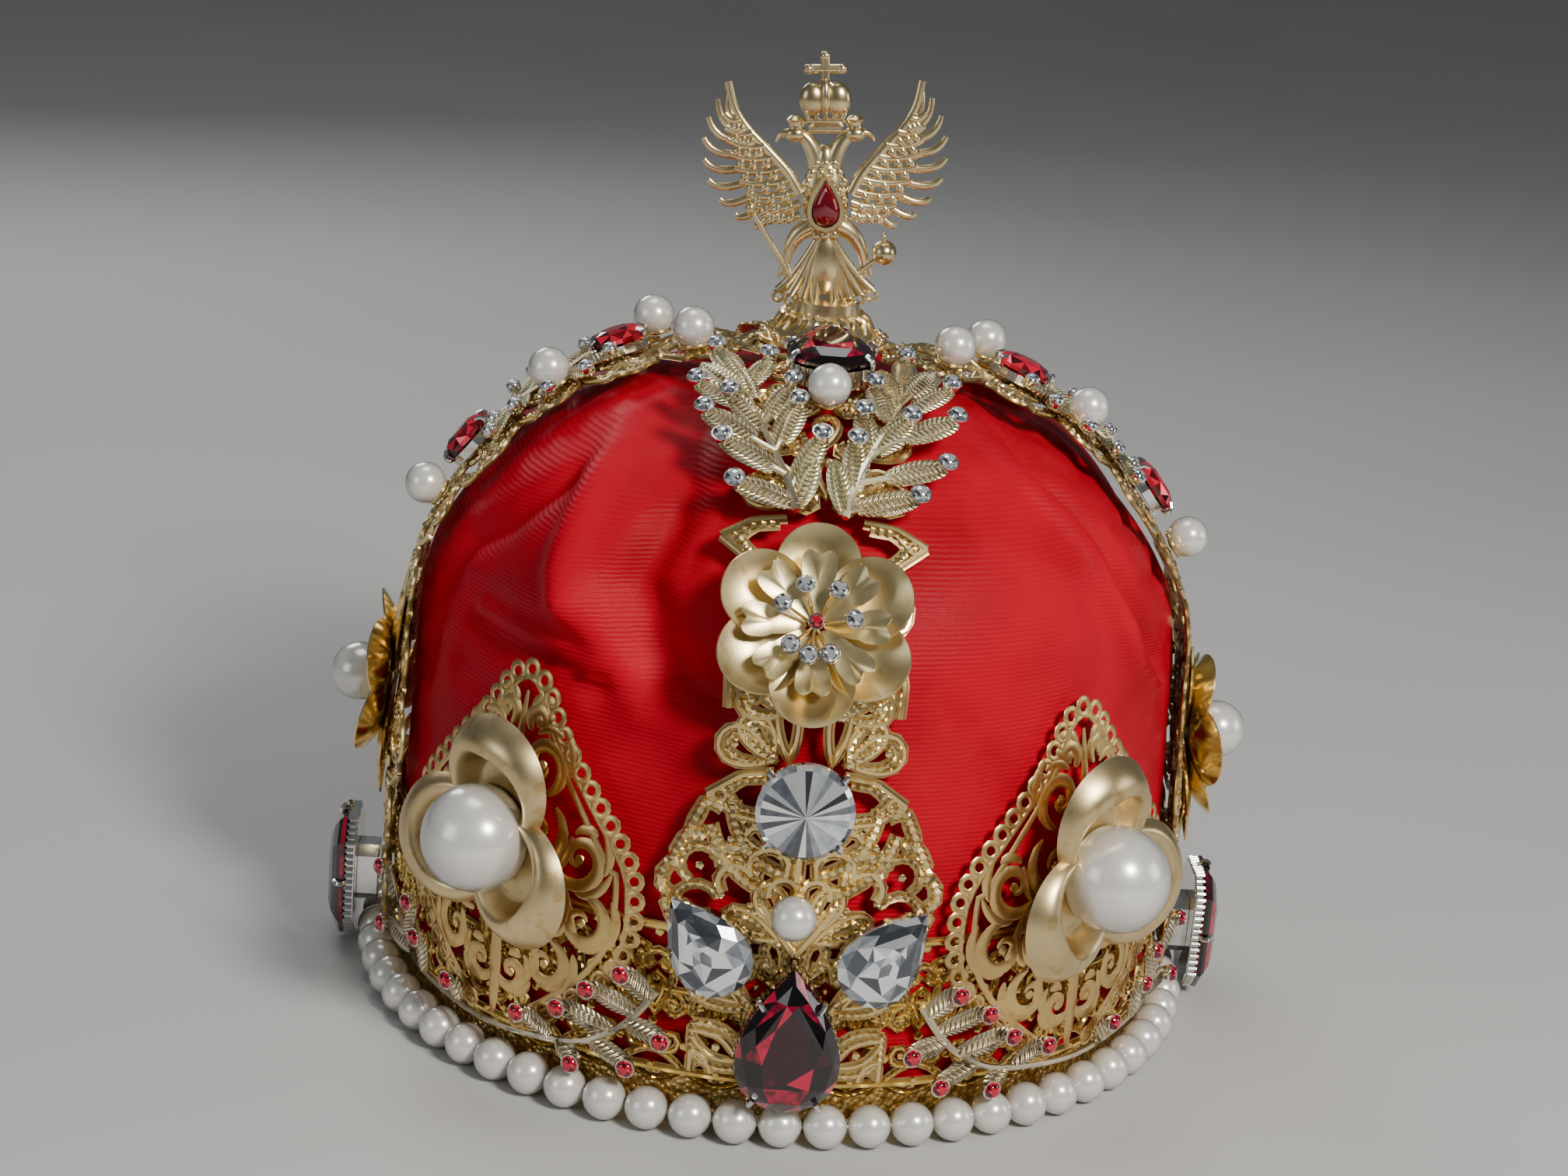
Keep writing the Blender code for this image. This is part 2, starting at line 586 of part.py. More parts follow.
def spray(name, azimuth, stem, leaves, side, lift=SPRAY_LIFT):
    """A stem with ridged leaves lying over an arch."""
    line = [on_arch(azimuth, side * x, s, lift).translation for x, s in stem]
    pieces = [wire(line, 0.9)]
    for across, along, place in leaves:
        pieces.append(leaf_on_stem(line, place, on_arch(azimuth, side * across, along, lift + 0.4), 5.6, 1.8))
    fused(name, pieces, "champagne_gold")


# Spray of a side arch, in the same columns.
SIDE_STEM = [(-2.0, 131.0), (-1.0, 139.0), (1.0, 147.0), (1.5, 154.5)]
SIDE_LEAVES = [(-13.0, 134.0, 0.3), (-16.0, 145.0, 1.1), (-11.5, 154.0, 1.9), (8.5, 130.5, 0.2),
               (12.0, 136.5, 0.7), (11.5, 155.0, 2.2)]
SIDE_FLOWER_LEAVES = [(0, 33), (28, 30), (-28, 30), (152, 28), (-152, 28), (180, 31)]  # direction, length
# Round pearls of a side arch: how far across it toward the front, and how far along it.
SIDE_PEARLS = [(7.0, 108.0), (8.5, 147.0), (9.0, 180.5), (-11.0, 171.0)]


def side_arch_ornaments(name, azimuth, front):
    """Eight-sided stone, layered flower, rubies, pearls and a leaf spray on one side arch."""
    width, length = SIDE_GARNET_SIZE
    claws = [(width / 2, 0.0), (-width / 2, 0.0), (0.8, length / 2), (-0.8, -length / 2)]
    stone_in_claws(f"side_garnet_{name}", eight_sided(width, length, 5.0), facing(azimuth, 108.3, 18.2), 2.7, 3.5,
                   -8.7, claws, table=0.66, scale=0.88, foot=(0.48, -3.5))
    flower = on_arch(azimuth, 0.0, 57.5, METAL / 2 + GAP + 0.9)

    def reach(angle):
        return 12.0 + 10.0 * lobes(angle, 5, 90.0) ** 0.6

    def dish(share, angle):
        return 0.3 + 5.0 * share ** 2.2

    pieces = [polar(15, 3, reach, dish)]
    for angle, length in SIDE_FLOWER_LEAVES:
        turned = Matrix.Translation((0, 0, 0.6)) @ Matrix.Rotation(math.radians(angle), 4, "Z")
        pieces.append(moved(leaf(length, 8.5, 2.2), turned))
    fused(f"side_flower_{name}", pieces, "champagne_gold", flower, wall=1.0, even=False)
    finished(f"side_flower_pearl_{name}", ball(7.25, 10, 6), "pearl",
             on_arch(azimuth, 0.0, 57.5, METAL / 2 + GAP + 0.9 + 0.8 + GAP + 7.25))
    for number, along in ((1, 121.0), (2, 163.0)):
        stone_with_cup(f"oval_ruby_{name}_{number}", oval(*OVAL_SIZE), on_arch(azimuth, 0.0, along, 4.6), 2.4, 2.6,
                       -3.6, "ruby")
    for number, (across, along) in enumerate(SIDE_PEARLS):
        finished(f"side_pearl_{name}_{number + 1}", ball(5.0), "pearl",
                 on_arch(azimuth, front * across, along, METAL / 2 + GAP + 5.0))
    spray(f"side_spray_{name}", azimuth, SIDE_STEM, SIDE_LEAVES, front, lift=2.0)


# Garland on the foot of a pointed plate: its stem runs under the rose from the front arch to the side arch.
# Azimuth and height of the stem; then of each leaf's tip, and where the leaf leaves the stem.
SPRIG_STEM = [(17.0, 34.0), (19.5, 27.5), (23.0, 21.5), (29.0, 16.5), (42.5, 14.2), (56.0, 16.5), (62.0, 21.5),
              (66.5, 28.0)]
SPRIG_LEAVES = [(26.0, 31.5, 1.0), (15.8, 23.0, 1.4), (30.0, 25.0, 1.9), (20.0, 15.0, 2.5), (57.0, 25.0, 5.0),
                (68.5, 20.0, 5.6), (59.5, 32.0, 6.0), (70.0, 33.5, 6.8)]
SPRIG_RADIUS = 100.4


def sprig(name, side):
    """Small leafy branch that lies on the foot of a pointed plate."""
    def spot(turn, height):
        return facing(side * turn, SPRIG_RADIUS, height)

    line = [spot(*row).translation for row in SPRIG_STEM]
    pieces = [wire(line, 0.8)]
    for turn, height, place in SPRIG_LEAVES:
        pieces.append(leaf_on_stem(line, place, spot(turn, height), 5.0, 1.6))
    fused(name, pieces, "champagne_gold")


def eagle():
    """Double-headed eagle finial on a round foot, with a ruby on its breast."""
    stand = Matrix.Translation((0, 0, EAGLE_BASE)) @ Matrix.Rotation(math.radians(-EAGLE_LEAN), 4, "Y")
    upright = stand @ Matrix.Rotation(math.radians(90), 4, "X")
    pieces = [stack(oval(31.0, 31.0, 12), [(1.0, 161.4), (1.0, 163.0), (0.62, 168.0), (0.5, 172.0)])]
    tips = FEATHER_TIPS
    for side in (-1, 1):
        wing = [SHOULDER, ELBOW, tips[0]]
        for one, two in zip(tips[:-1], tips[1:]):
            notch = Vector(one).lerp(Vector(two), 0.5).lerp(Vector(SHOULDER), 0.16)
            wing += [tuple(notch), two]
        wing += [(9.0, 22.0), (4.0, 22.0)]
        pieces.append(moved(flat([(side * x, y) for x, y in wing], 1.8), upright))
        neck = [(side * 1.5, 33.0), (side * 3.2, 37.5), (side * 5.6, 42.0), (side * 8.0, 43.6),
                (side * 11.4, 40.6), (side * 7.4, 40.4), (side * 6.0, 34.0)]
        pieces.append(moved(flat(neck, 3.0), upright))
        leg = [(side * 2.5, 21.0), (side * 7.5, 20.0), (side * 10.0, 13.0), (side * 8.0, 8.0), (side * 5.0, 14.0)]
        pieces.append(moved(flat(leg, 2.6), upright))
    body = ball(1.0, 8, 5)
    bmesh.ops.scale(body, vec=(6.6, 10.5, 3.0), verts=body.verts)
    pieces.append(moved(body, upright @ Matrix.Translation((0, 27.0, 0))))
    tail = [(-3.0, 20.0), (-9.5, 5.5), (-12.5, 4.5), (-12.0, -1.0), (12.0, -1.0), (12.5, 4.5), (9.5, 5.5),
            (3.0, 20.0)]
    pieces.append(moved(flat(tail, 3.4), upright))
    crest = [(-1.6, 35.0), (-1.6, 41.5), (-3.8, 43.0), (-4.2, 45.5), (-6.0, 48.5), (-5.4, 52.5), (-1.8, 54.6),
             (1.8, 54.6), (5.4, 52.5), (6.0, 48.5), (4.2, 45.5), (3.8, 43.0), (1.6, 41.5), (1.6, 35.0)]
    pieces.append(moved(flat(crest, 4.2), upright))
    cross = [(-0.9, 53.5), (-0.9, 55.9), (-4.0, 55.9), (-4.0, 57.9), (-0.9, 57.9), (-0.9, 61.2), (0.9, 61.2),
             (0.9, 57.9), (4.0, 57.9), (4.0, 55.9), (0.9, 55.9), (0.9, 53.5)]
    pieces.append(moved(flat(cross, 2.0), upright))
    pieces.append(moved(wire([(-8.0, 8.5, 1.0), (-17.4, 25.0, 0.6)], 0.9), upright))
    pieces.append(moved(wire([(8.0, 10.5, 0.8), (13.0, 13.6, 0.8)], 0.9), upright))
    pieces.append(moved(ball(3.1, 8, 4), upright @ Matrix.Translation((14.0, 14.3, 0.8))))
    fused("eagle_finial", pieces, "champagne_gold")
    breast = stack(pear(6.5, 11.0, 10), [(0.95, 0.0), (1.0, 1.2), (0.55, 2.4)])
    finished("eagle_stone", breast, "ruby", upright @ Matrix.Translation((0, 26.5, 3.0 + GAP)))


band()
rim_pearls()
cap()
for arch_name, arch_azimuth in ARCHES.items():
    arch(arch_name, arch_azimuth)
for corner_name, corner_azimuth in CORNERS.items():
    point_plate(corner_name, corner_azimuth)
    rose(corner_name, corner_azimuth)
blossom()
front_stones()
spray("leaf_spray_left", 0.0, SPRAY_STEM, SPRAY_LEAVES, 1)
spray("leaf_spray_right", 0.0, SPRAY_STEM, SPRAY_LEAVES, -1)
side_arch_ornaments("right", 90.0, -1)
side_arch_ornaments("left", 270.0, 1)
sprig("rim_sprig_left", -1)
sprig("rim_sprig_right", 1)
eagle()
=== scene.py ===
# %% [markdown]
# # A costume crown
# This lesson dresses the solid model of a stage crown: a pierced gilt band and four arches over a cap of
# crimson stretch velvet, with imitation pearls, cut stones, metal flowers and an eagle on top.
# The solids come in as a fixed frame. Each new piece takes the place of one solid or a few of them.

# %% Load the frame
import math
import bmesh
import bpy
import numpy as np
from mathutils import Matrix, Vector


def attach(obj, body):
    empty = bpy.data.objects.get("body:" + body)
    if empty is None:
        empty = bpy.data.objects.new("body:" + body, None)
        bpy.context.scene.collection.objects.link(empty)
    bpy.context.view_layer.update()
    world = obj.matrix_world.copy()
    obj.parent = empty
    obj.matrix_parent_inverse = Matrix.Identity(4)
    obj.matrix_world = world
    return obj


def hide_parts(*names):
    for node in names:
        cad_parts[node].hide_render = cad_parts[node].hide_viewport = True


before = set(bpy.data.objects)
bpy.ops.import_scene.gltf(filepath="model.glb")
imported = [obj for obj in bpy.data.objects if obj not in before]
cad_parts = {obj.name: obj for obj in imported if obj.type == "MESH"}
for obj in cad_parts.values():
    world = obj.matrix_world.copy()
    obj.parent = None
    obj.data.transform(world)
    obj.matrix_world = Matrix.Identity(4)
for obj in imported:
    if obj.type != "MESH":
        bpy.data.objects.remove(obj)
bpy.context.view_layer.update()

# %% [markdown]
# ## Places on the crown
# All sizes are in millimetres round the crown's own axis, and become metres when a piece is finished.
# An azimuth of 0 is the front and it grows to the right. The arches, the band and the pointed plates are
# curved, so their patterns are drawn flat first and then laid on the curved surface, as a goldsmith saws a
# flat sheet and bends it afterwards. The same tables as in the solid model say where those surfaces are.

# %% The curved surfaces
AXIS_BACK = 2.5
METAL, GAP = 1.4, 0.3
ON_METAL = METAL / 2 + GAP
BAND_RADIUS = 95.5
ARCH_LINE = [(98.4, 12.0), (98.4, 48.0), (97.8, 56.0), (96.7, 68.0), (95.7, 80.0), (94.6, 100.0),
             (91.3, 111.0), (85.2, 121.5), (78.3, 131.0), (70.2, 140.0), (60.0, 147.8), (45.0, 155.0),
             (28.0, 159.0), (14.0, 160.4)]
ARCH_WIDTH = [(0, 21), (16, 21), (32, 23), (42, 29), (48, 30.5), (56, 26.5), (66, 22), (82, 22.5),
              (94, 20.5), (108, 19), (118, 20), (124, 21), (127, 23), (134, 19), (150, 19), (165, 19),
              (178, 17), (190, 14.5), (197, 12.6)]
PLATE_LINES = [(13.0, 98.0, 5.0), (22.0, 98.0, 19.0), (37.0, 98.0, 34.5), (52.0, 97.8, 37.3),
               (65.0, 96.5, 30.8), (82.0, 94.0, 15.0), (95.0, 91.8, 5.4), (99.5, 91.0, 2.4)]
UP = np.array([0.0, 0.0, 1.0])
CORNERS = {"front_left": -42.5, "front_right": 42.5, "back_right": 137.5, "back_left": 222.5}
ARCHES = {"front": 0.0, "right": 90.0, "back": 180.0, "left": 270.0}
# Side arches: name, azimuth, and the hand on which their front edge lies.
SIDES = (("right", 90.0, -1), ("left", 270.0, 1))


def smooth_line(rows, steps=12):
    """Points of a smooth curve through the rows."""
    points = np.array(rows, float)
    points = np.vstack([2 * points[0] - points[1], points, 2 * points[-1] - points[-2]])
    found = []
    for a, b, c, d in zip(points[:-3], points[1:-2], points[2:-1], points[3:]):
        for t in np.linspace(0.0, 1.0, steps, endpoint=False):
            found.append(0.5 * (2 * b + (c - a) * t + (2 * a - 5 * b + 4 * c - d) * t * t
                                + (3 * b - a - 3 * c + d) * t ** 3))
    found.append(points[-2])
    return np.array(found)


ARCH_CURVE = smooth_line(ARCH_LINE)
ARCH_LENGTHS = np.concatenate([[0.0], np.cumsum(np.hypot(*np.diff(ARCH_CURVE, axis=0).T))])
ARCH_SLOPES = np.gradient(ARCH_CURVE, axis=0)
ARCH_SLOPES /= np.linalg.norm(ARCH_SLOPES, axis=1)[:, None]


def half_width(along):
    return float(np.interp(along, [row[0] for row in ARCH_WIDTH], [row[1] for row in ARCH_WIDTH]))


def out_and_side(azimuth):
    a = math.radians(azimuth)
    return np.array([math.sin(a), -math.cos(a), 0.0]), np.array([math.cos(a), math.sin(a), 0.0])


def arch_surface(azimuth):
    """A function that lays flat points (across, along, lift) on an arch."""
    out, side = out_and_side(azimuth)

    def lay(x, s, z):
        radius, height = (np.interp(s, ARCH_LENGTHS, ARCH_CURVE[:, k]) for k in (0, 1))
        slope_out, slope_up = (np.interp(s, ARCH_LENGTHS, ARCH_SLOPES[:, k]) for k in (0, 1))
        bend = np.interp(height, (60.0, 160.0), (98.0, 160.0))
        normal = out * slope_up[:, None] + side * (x / bend)[:, None] - UP * slope_out[:, None]
        normal /= np.linalg.norm(normal, axis=1)[:, None]
        at = out * (radius - x ** 2 / (2 * bend))[:, None] + side * x[:, None] + UP * height[:, None]
        return at + normal * z[:, None]
    return lay


def band_surface(x, y, z):
    """Lays flat points (round the band, height, lift) on the wall of the band."""
    a = x / BAND_RADIUS
    radius = BAND_RADIUS - 2.3 * np.clip((13.0 - y) / 3.6, 0.0, 1.0) + z
    return np.stack([radius * np.sin(a), -radius * np.cos(a), y], axis=1)


def plate_surface(azimuth):
    """A function that lays flat points (round the crown, height, lift) on a pointed plate."""
    def lay(x, y, z):
        radius = np.interp(y, [row[0] for row in PLATE_LINES], [row[1] for row in PLATE_LINES])
        a = math.radians(azimuth) + x / radius
        return np.stack([(radius + z) * np.sin(a), -(radius + z) * np.cos(a), y], axis=1)
    return lay


def facing(azimuth, radius, height, turn=0.0):
    """Placing whose Z points away from the crown, with Y up it and X round it to the right."""
    out, side = out_and_side(azimuth)
    matrix = Matrix((side, (0, 0, 1), out)).transposed().to_4x4()
    matrix.translation = Vector(out * radius) + Vector((0, 0, height))
    return matrix @ Matrix.Rotation(math.radians(turn), 4, "Z")


def on_arch(azimuth, across, along, lift=0.0, turn=0.0):
    """Placing on an arch's middle surface, lifted off it: Z out of the arch, Y along it, X across it."""
    at, right, above = arch_surface(azimuth)(*np.array([[across, across + 0.1, across], [along] * 3,
                                                        [0.0, 0.0, 1.0]]))
    normal = Vector(above - at).normalized()
    x_axis = Vector(right - at).normalized()
    y_axis = normal.cross(x_axis).normalized()
    matrix = Matrix((y_axis.cross(normal), y_axis, normal)).transposed().to_4x4()
    matrix.translation = Vector(at) + normal * lift
    return matrix @ Matrix.Rotation(math.radians(turn), 4, "Z")


print("length of an arch from foot to top:", round(float(ARCH_LENGTHS[-1]), 1), "mm")

# %% [markdown]
# ## The camera
# The camera stands where the photographer stood, about 70 cm away, a little above the crown and rolled by
# almost five degrees. It is set from the place, the look direction and the roll, so that the framing is the
# photograph's. It comes early, so that any later step can be looked at from the right place.

# %% Camera
CAMERA_TARGET = Vector((-4.12, AXIS_BACK, 99.18))
CAMERA_DISTANCE = 700.0
CAMERA_AZIMUTH, CAMERA_ELEVATION, CAMERA_ROLL = (math.radians(v) for v in (-2.88, 16.83, 4.84))
back = Vector((math.sin(CAMERA_AZIMUTH) * math.cos(CAMERA_ELEVATION),
               -math.cos(CAMERA_AZIMUTH) * math.cos(CAMERA_ELEVATION), math.sin(CAMERA_ELEVATION)))
right = (-back).cross(Vector((0, 0, 1))).normalized()
up = right.cross(-back)
roll_right = right * math.cos(CAMERA_ROLL) + up * math.sin(CAMERA_ROLL)
roll_up = -right * math.sin(CAMERA_ROLL) + up * math.cos(CAMERA_ROLL)
camera_data = bpy.data.cameras.new("camera")
camera_data.lens = 65.43
camera_data.sensor_width = 36.0
camera_data.clip_start = 0.01
camera = bpy.data.objects.new("camera", camera_data)
camera.matrix_world = Matrix((roll_right, roll_up, back)).transposed().to_4x4()
camera.location = (CAMERA_TARGET + back * CAMERA_DISTANCE) * 0.001
bpy.context.scene.collection.objects.link(camera)
bpy.context.scene.camera = camera
print("camera at", [round(v, 3) for v in camera.location])

# %% [markdown]
# ## Finishes
# The metal of such a crown is stamped or cast and then plated, and no two of its stampings come from the same
# bath: pale champagne gold for the filigree, yellower gold for the band, satin gold for the petals, pale and
# stained golds for the leaves, and a darker gold as painted shade on the sheet behind the wires. Each shader
# takes its base colour and roughness from noise at two sizes, because plating is never even. The grains of
# the foot and the barbs of the leaves are too fine for faces, so they are bump, with painted shade in their
# hollows.

# %% A helper that builds shaders
WHITE = (1.0, 1.0, 1.0)
COLOUR_VARIETY = 0.22


class Shader:
    """A new material with a Principled shader, and short ways to put nodes in front of it."""

    def __init__(self, name, colour, roughness, metallic=0.0, **sockets):
        self.made = bpy.data.materials.new(name)
        self.made.use_nodes = True
        self.made.diffuse_color = (*colour, 1.0)
        self.inputs = self.made.node_tree.nodes["Principled BSDF"].inputs
        self.inputs["Base Color"].default_value = (*colour, 1.0)
        self.inputs["Roughness"].default_value = roughness
        self.inputs["Metallic"].default_value = metallic
        for socket, value in sockets.items():
            self.inputs[socket.replace("_", " ")].default_value = value
        self.at = self.node("TexCoord", "Object")

    def feed(self, socket, value):
        """Link a node's output to a socket, or set the socket's plain value."""
        if isinstance(value, bpy.types.NodeSocket):
            self.made.node_tree.links.new(value, socket)
        else:
            socket.default_value = value

    def node(self, kind, output, *values, settings=None, **sockets):
        """An output of a new node, whose inputs are fed in their order or by their names."""
        made = self.made.node_tree.nodes.new("ShaderNode" + kind)
        for name, value in (settings or {}).items():
            setattr(made, name, value)
        for socket, value in zip(made.inputs, values):
            self.feed(socket, value)
        for name, value in sockets.items():
            self.feed(made.inputs[name.replace("_", " ")], value)
        return made.outputs[output]

    def noise(self, scale, detail):
        return self.node("TexNoise", "Fac", Vector=self.at, Scale=scale, Detail=detail)

    def attribute(self, name):
        return self.node("Attribute", "Fac", settings={"attribute_name": name})

    def maths(self, operation, *values):
        return self.node("Math", "Value", *values, settings={"operation": operation})

    def ramp(self, value, *stops):
        """A colour ramp from (place, colour) stops."""
        colours = self.node("ValToRGB", "Color", value)
        elements = colours.node.color_ramp.elements
        while len(elements) < len(stops):
            elements.new(0.5)
        for element, (place, colour) in zip(elements, stops):
            element.position = place
            element.color = (*colour, 1.0)
        return colours

    def between(self, value, low, high):
        """The value from 0 to 1 brought between low and high."""
        return self.node("MapRange", "Result", Value=value, To_Min=low, To_Max=high)

    def product(self, one, other):
        """Product of two colours."""
        return self.node("Mix", "Result", settings={"data_type": "RGBA", "blend_type": "MULTIPLY"},
                         Factor=1.0, A=one, B=other)

    def bump(self, height, distance, strength=1.0, **under):
        """A bump in metres on the shader's normal. Returns its normal, for another bump on top."""
        normal = self.node("Bump", "Normal", Height=height, Distance=distance, Strength=strength, **under)
        self.feed(self.inputs["Normal"], normal)
        return normal

    def finished(self, tone, rough=None):
        """The material, once its colour and roughness are in place."""
        self.feed(self.inputs["Base Color"], tone)
        if rough:
            self.feed(self.inputs["Roughness"], rough)
        return self.made


# %% Plated metals
STAINED = (0.80, 0.72, 0.58)


def plated(name, colour, roughness, seed=0.0, seed_depth=0.0, grain=900.0, dull=0.12, patina=STAINED,
           barbs=0.0):
    """Plated metal with uneven colour and fine grain, a little darker in random stains. It has the round
    seeds of a stamping or the barbs of a leaf where those have a depth, with painted shade in the hollows
    between them."""
    s = Shader(name, colour, roughness, 1.0)
    dark, pale = (tuple(min(1.0, c * (1 + change)) for c in colour)
                  for change in (-COLOUR_VARIETY, COLOUR_VARIETY))
    tone = s.ramp(s.noise(55.0, 4.0), (0.30, dark), (0.52, colour), (0.74, pale))
    tone = s.product(tone, s.ramp(s.noise(240.0, 4.0), (0.30, patina), (0.44, WHITE)))
    normal = s.bump(s.noise(grain, 2.0), 0.00001)
    if seed:
        cells = s.node("TexVoronoi", "Distance", settings={"feature": "SMOOTH_F1"}, Vector=s.at,
                       Scale=1.0 / seed, Smoothness=0.25)
        s.bump(s.between(cells, 1.0, 0.0), seed_depth, Normal=normal)
        # Painted shade: the colour darkens towards the hollows between the seeds.
        tone = s.product(tone, s.ramp(cells, (0.38, WHITE), (0.80, (0.50, 0.38, 0.20))))
    if barbs:
        ridge = s.maths("MULTIPLY_ADD", s.maths("SINE", s.attribute("barb")), 0.5, 0.5)
        s.bump(ridge, barbs, Normal=normal)
        # Painted shade: the colour darkens in the grooves between the barbs.
        tone = s.product(tone, s.ramp(ridge, (0.0, (0.62, 0.55, 0.42)), (0.35, WHITE)))
    return s.finished(tone, s.between(s.noise(210.0, 3.0), roughness - 0.05, roughness + dull))


FINISH = {
    "champagne": plated("champagne_gold", (0.86, 0.66, 0.31), 0.22),
    # Painted shade: a darker gold for the sheet behind the raised wires.
    "backing_shade": plated("painted_shade_gold", (0.52, 0.37, 0.15), 0.34),
    "yellow": plated("yellow_gold", (0.92, 0.64, 0.19), 0.22),
    "grained": plated("grained_gold", (0.94, 0.70, 0.30), 0.24, 0.0014, 0.0005),
    "plate": plated("plate_gold", (0.78, 0.54, 0.22), 0.32, dull=0.10),
    "satin": plated("satin_gold", (0.80, 0.66, 0.35), 0.33, grain=2600.0, dull=0.08),
    "rolled": plated("rolled_satin", (0.77, 0.60, 0.32), 0.34, grain=2600.0, dull=0.06),
    # Both leaf golds have painted shade in the grooves between their barbs; the second also has dark random
    # stains.
    "leaf": plated("leaf_gold_groove_shade", (0.93, 0.82, 0.55), 0.22, grain=1500.0, patina=(0.72, 0.66, 0.52),
                   barbs=0.00026),
    "stained_groove_shaded": plated("stained_gold_groove_shade", (0.72, 0.63, 0.45), 0.25, grain=1500.0, patina=(0.28, 0.24, 0.18),
                      barbs=0.00026),
    "smooth": plated("smooth_leaf", (0.86, 0.67, 0.33), 0.20, dull=0.08),
    "shiny": plated("shiny_gold", (0.95, 0.70, 0.25), 0.14, dull=0.08),
    "eagle": plated("pale_gold", (0.84, 0.68, 0.38), 0.22),
    "silver": plated("bright_silver", (0.80, 0.80, 0.78), 0.12, dull=0.08),
}
SLOT = dict.fromkeys(FINISH, "champagne_gold") | {"satin": "satin_gold", "rolled": "satin_gold",
                                                  "silver": "bright_silver"}
print("plated finishes:", len(FINISH))

# %% [markdown]
# ## Pearls, stones and velvet
# Imitation pearls are plastic beads under a pearly lacquer, so a clear coat lies over a softer body, and the
# colour turns bluish grey and darker where the surface turns away: partly the lacquer's lustre, partly painted
# shade. Rhinestones have foil on their backs and throw the light back like small mirrors, so they are partly
# metallic here, under a hard clear coat, and each facet has a painted reflection, a tone of its own. Velvet
# scatters light at its edges, which is what sheen does, and this stretch velvet has fine level ribs.

# %% Pearl
def pearl_finish():
    s = Shader("pearl", (0.78, 0.75, 0.69), 0.26, 0.35, Coat_Weight=0.7, Coat_Roughness=0.05)
    # Bluish grey and darker towards the edges: partly the lacquer's lustre, partly painted shade.
    lustre_and_edge_shade = s.ramp(s.node("LayerWeight", "Facing", Blend=0.35), (0.0, (0.94, 0.92, 0.86)),
                     (0.35, (0.82, 0.80, 0.75)), (0.70, (0.46, 0.47, 0.48)))
    cloud = s.ramp(s.noise(160.0, 2.0), (0.3, (0.93, 0.92, 0.93)), (0.7, (1.0, 1.0, 0.98)))
    s.bump(s.noise(500.0, 2.0), 0.00001)
    return s.finished(s.product(lustre_and_edge_shade, cloud))


# %% Foiled stones
def foiled_stone(name, metallic, *stops):
    """Cut glass over foil. Each facet has its own tone, kept with the faces: a painted reflection of another
    place, and the brightest stops are painted glints.
    """
    s = Shader(name, stops[1][1], 0.04, metallic, Coat_Weight=1.0, Coat_Roughness=0.02)
    tone = s.maths("ADD", s.attribute("facet"), s.between(s.noise(420.0, 2.0), -0.16, 0.16))
    return s.finished(s.ramp(tone, *stops), s.between(s.noise(300.0, 2.0), 0.02, 0.09))


# %% Velvet
RIB_PITCH = 0.0010
CRIMSON = (0.50, 0.0, 0.016)


def velvet_finish():
    s = Shader("crimson_velvet", CRIMSON, 0.5, 0.0, Sheen_Weight=0.20, Sheen_Roughness=0.20,
               Sheen_Tint=(1.0, 0.05, 0.11, 1.0), Specular_IOR_Level=0.10)
    ribs = s.node("TexWave", "Fac", settings={"bands_direction": "Z"}, Vector=s.at,
                  Scale=2 * math.pi / (20 * RIB_PITCH), Distortion=1.6, Detail=2.0, Detail_Scale=1.5)
    s.bump(s.noise(1900.0, 2.0), 0.0001, 0.6, Normal=s.bump(ribs, 0.00010, 0.7))
    pile = s.ramp(s.noise(26.0, 5.0), (0.28, (0.35, 0.0, 0.009)), (0.5, CRIMSON),
                  (0.75, (0.62, 0.0, 0.020)))
    return s.finished(pile, s.between(s.noise(90.0, 4.0), 0.34, 0.62))


# %% All finishes
OTHERS = {
    "pearl": pearl_finish(),
    # Each ramp turns a facet's tone into a painted reflection; its brightest stop is a painted glint.
    "crystal": foiled_stone("crystal", 0.7, (0.05, (0.09, 0.10, 0.12)), (0.32, (0.34, 0.38, 0.43)),
                            (0.58, (0.74, 0.79, 0.82)), (0.85, WHITE)),
    "garnet": foiled_stone("garnet", 0.2, (0.1, (0.002, 0.0, 0.0)), (0.62, (0.012, 0.0, 0.0015)),
                           (0.86, (0.05, 0.0, 0.006)), (0.97, (0.60, 0.002, 0.05))),
    "ruby": foiled_stone("ruby", 0.4, (0.1, (0.05, 0.0, 0.003)), (0.5, (0.30, 0.001, 0.012)),
                         (0.9, (0.95, 0.02, 0.06))),
    "velvet": velvet_finish(),
}
FINISH |= OTHERS
SLOT |= {name: name for name in OTHERS}
print("all finishes:", ", ".join(FINISH))

# %% [markdown]
# ## Making pieces
# A piece is gathered from one bmesh or several, each with its own finish, in millimetres. Wires are curves
# with a round section, since a curve carries any winding line and takes a thickness at each point: an even
# one gives smooth wire, and one that swells and shrinks gives a row of seeds.

# %% Gather, place and finish a piece
PIECES = []


def merged(parts):
    """One bmesh from several (bmesh, finish) pairs, each with the slot number of its finish."""
    whole = bmesh.new()
    finishes = []
    for bm, finish in parts:
        if finish not in finishes:
            finishes.append(finish)
        for face in bm.faces:
            face.material_index = finishes.index(finish)
        mesh = bpy.data.meshes.new("part")
        bm.to_mesh(mesh)
        bm.free()
        whole.from_mesh(mesh)
        bpy.data.meshes.remove(mesh)
    return whole, finishes


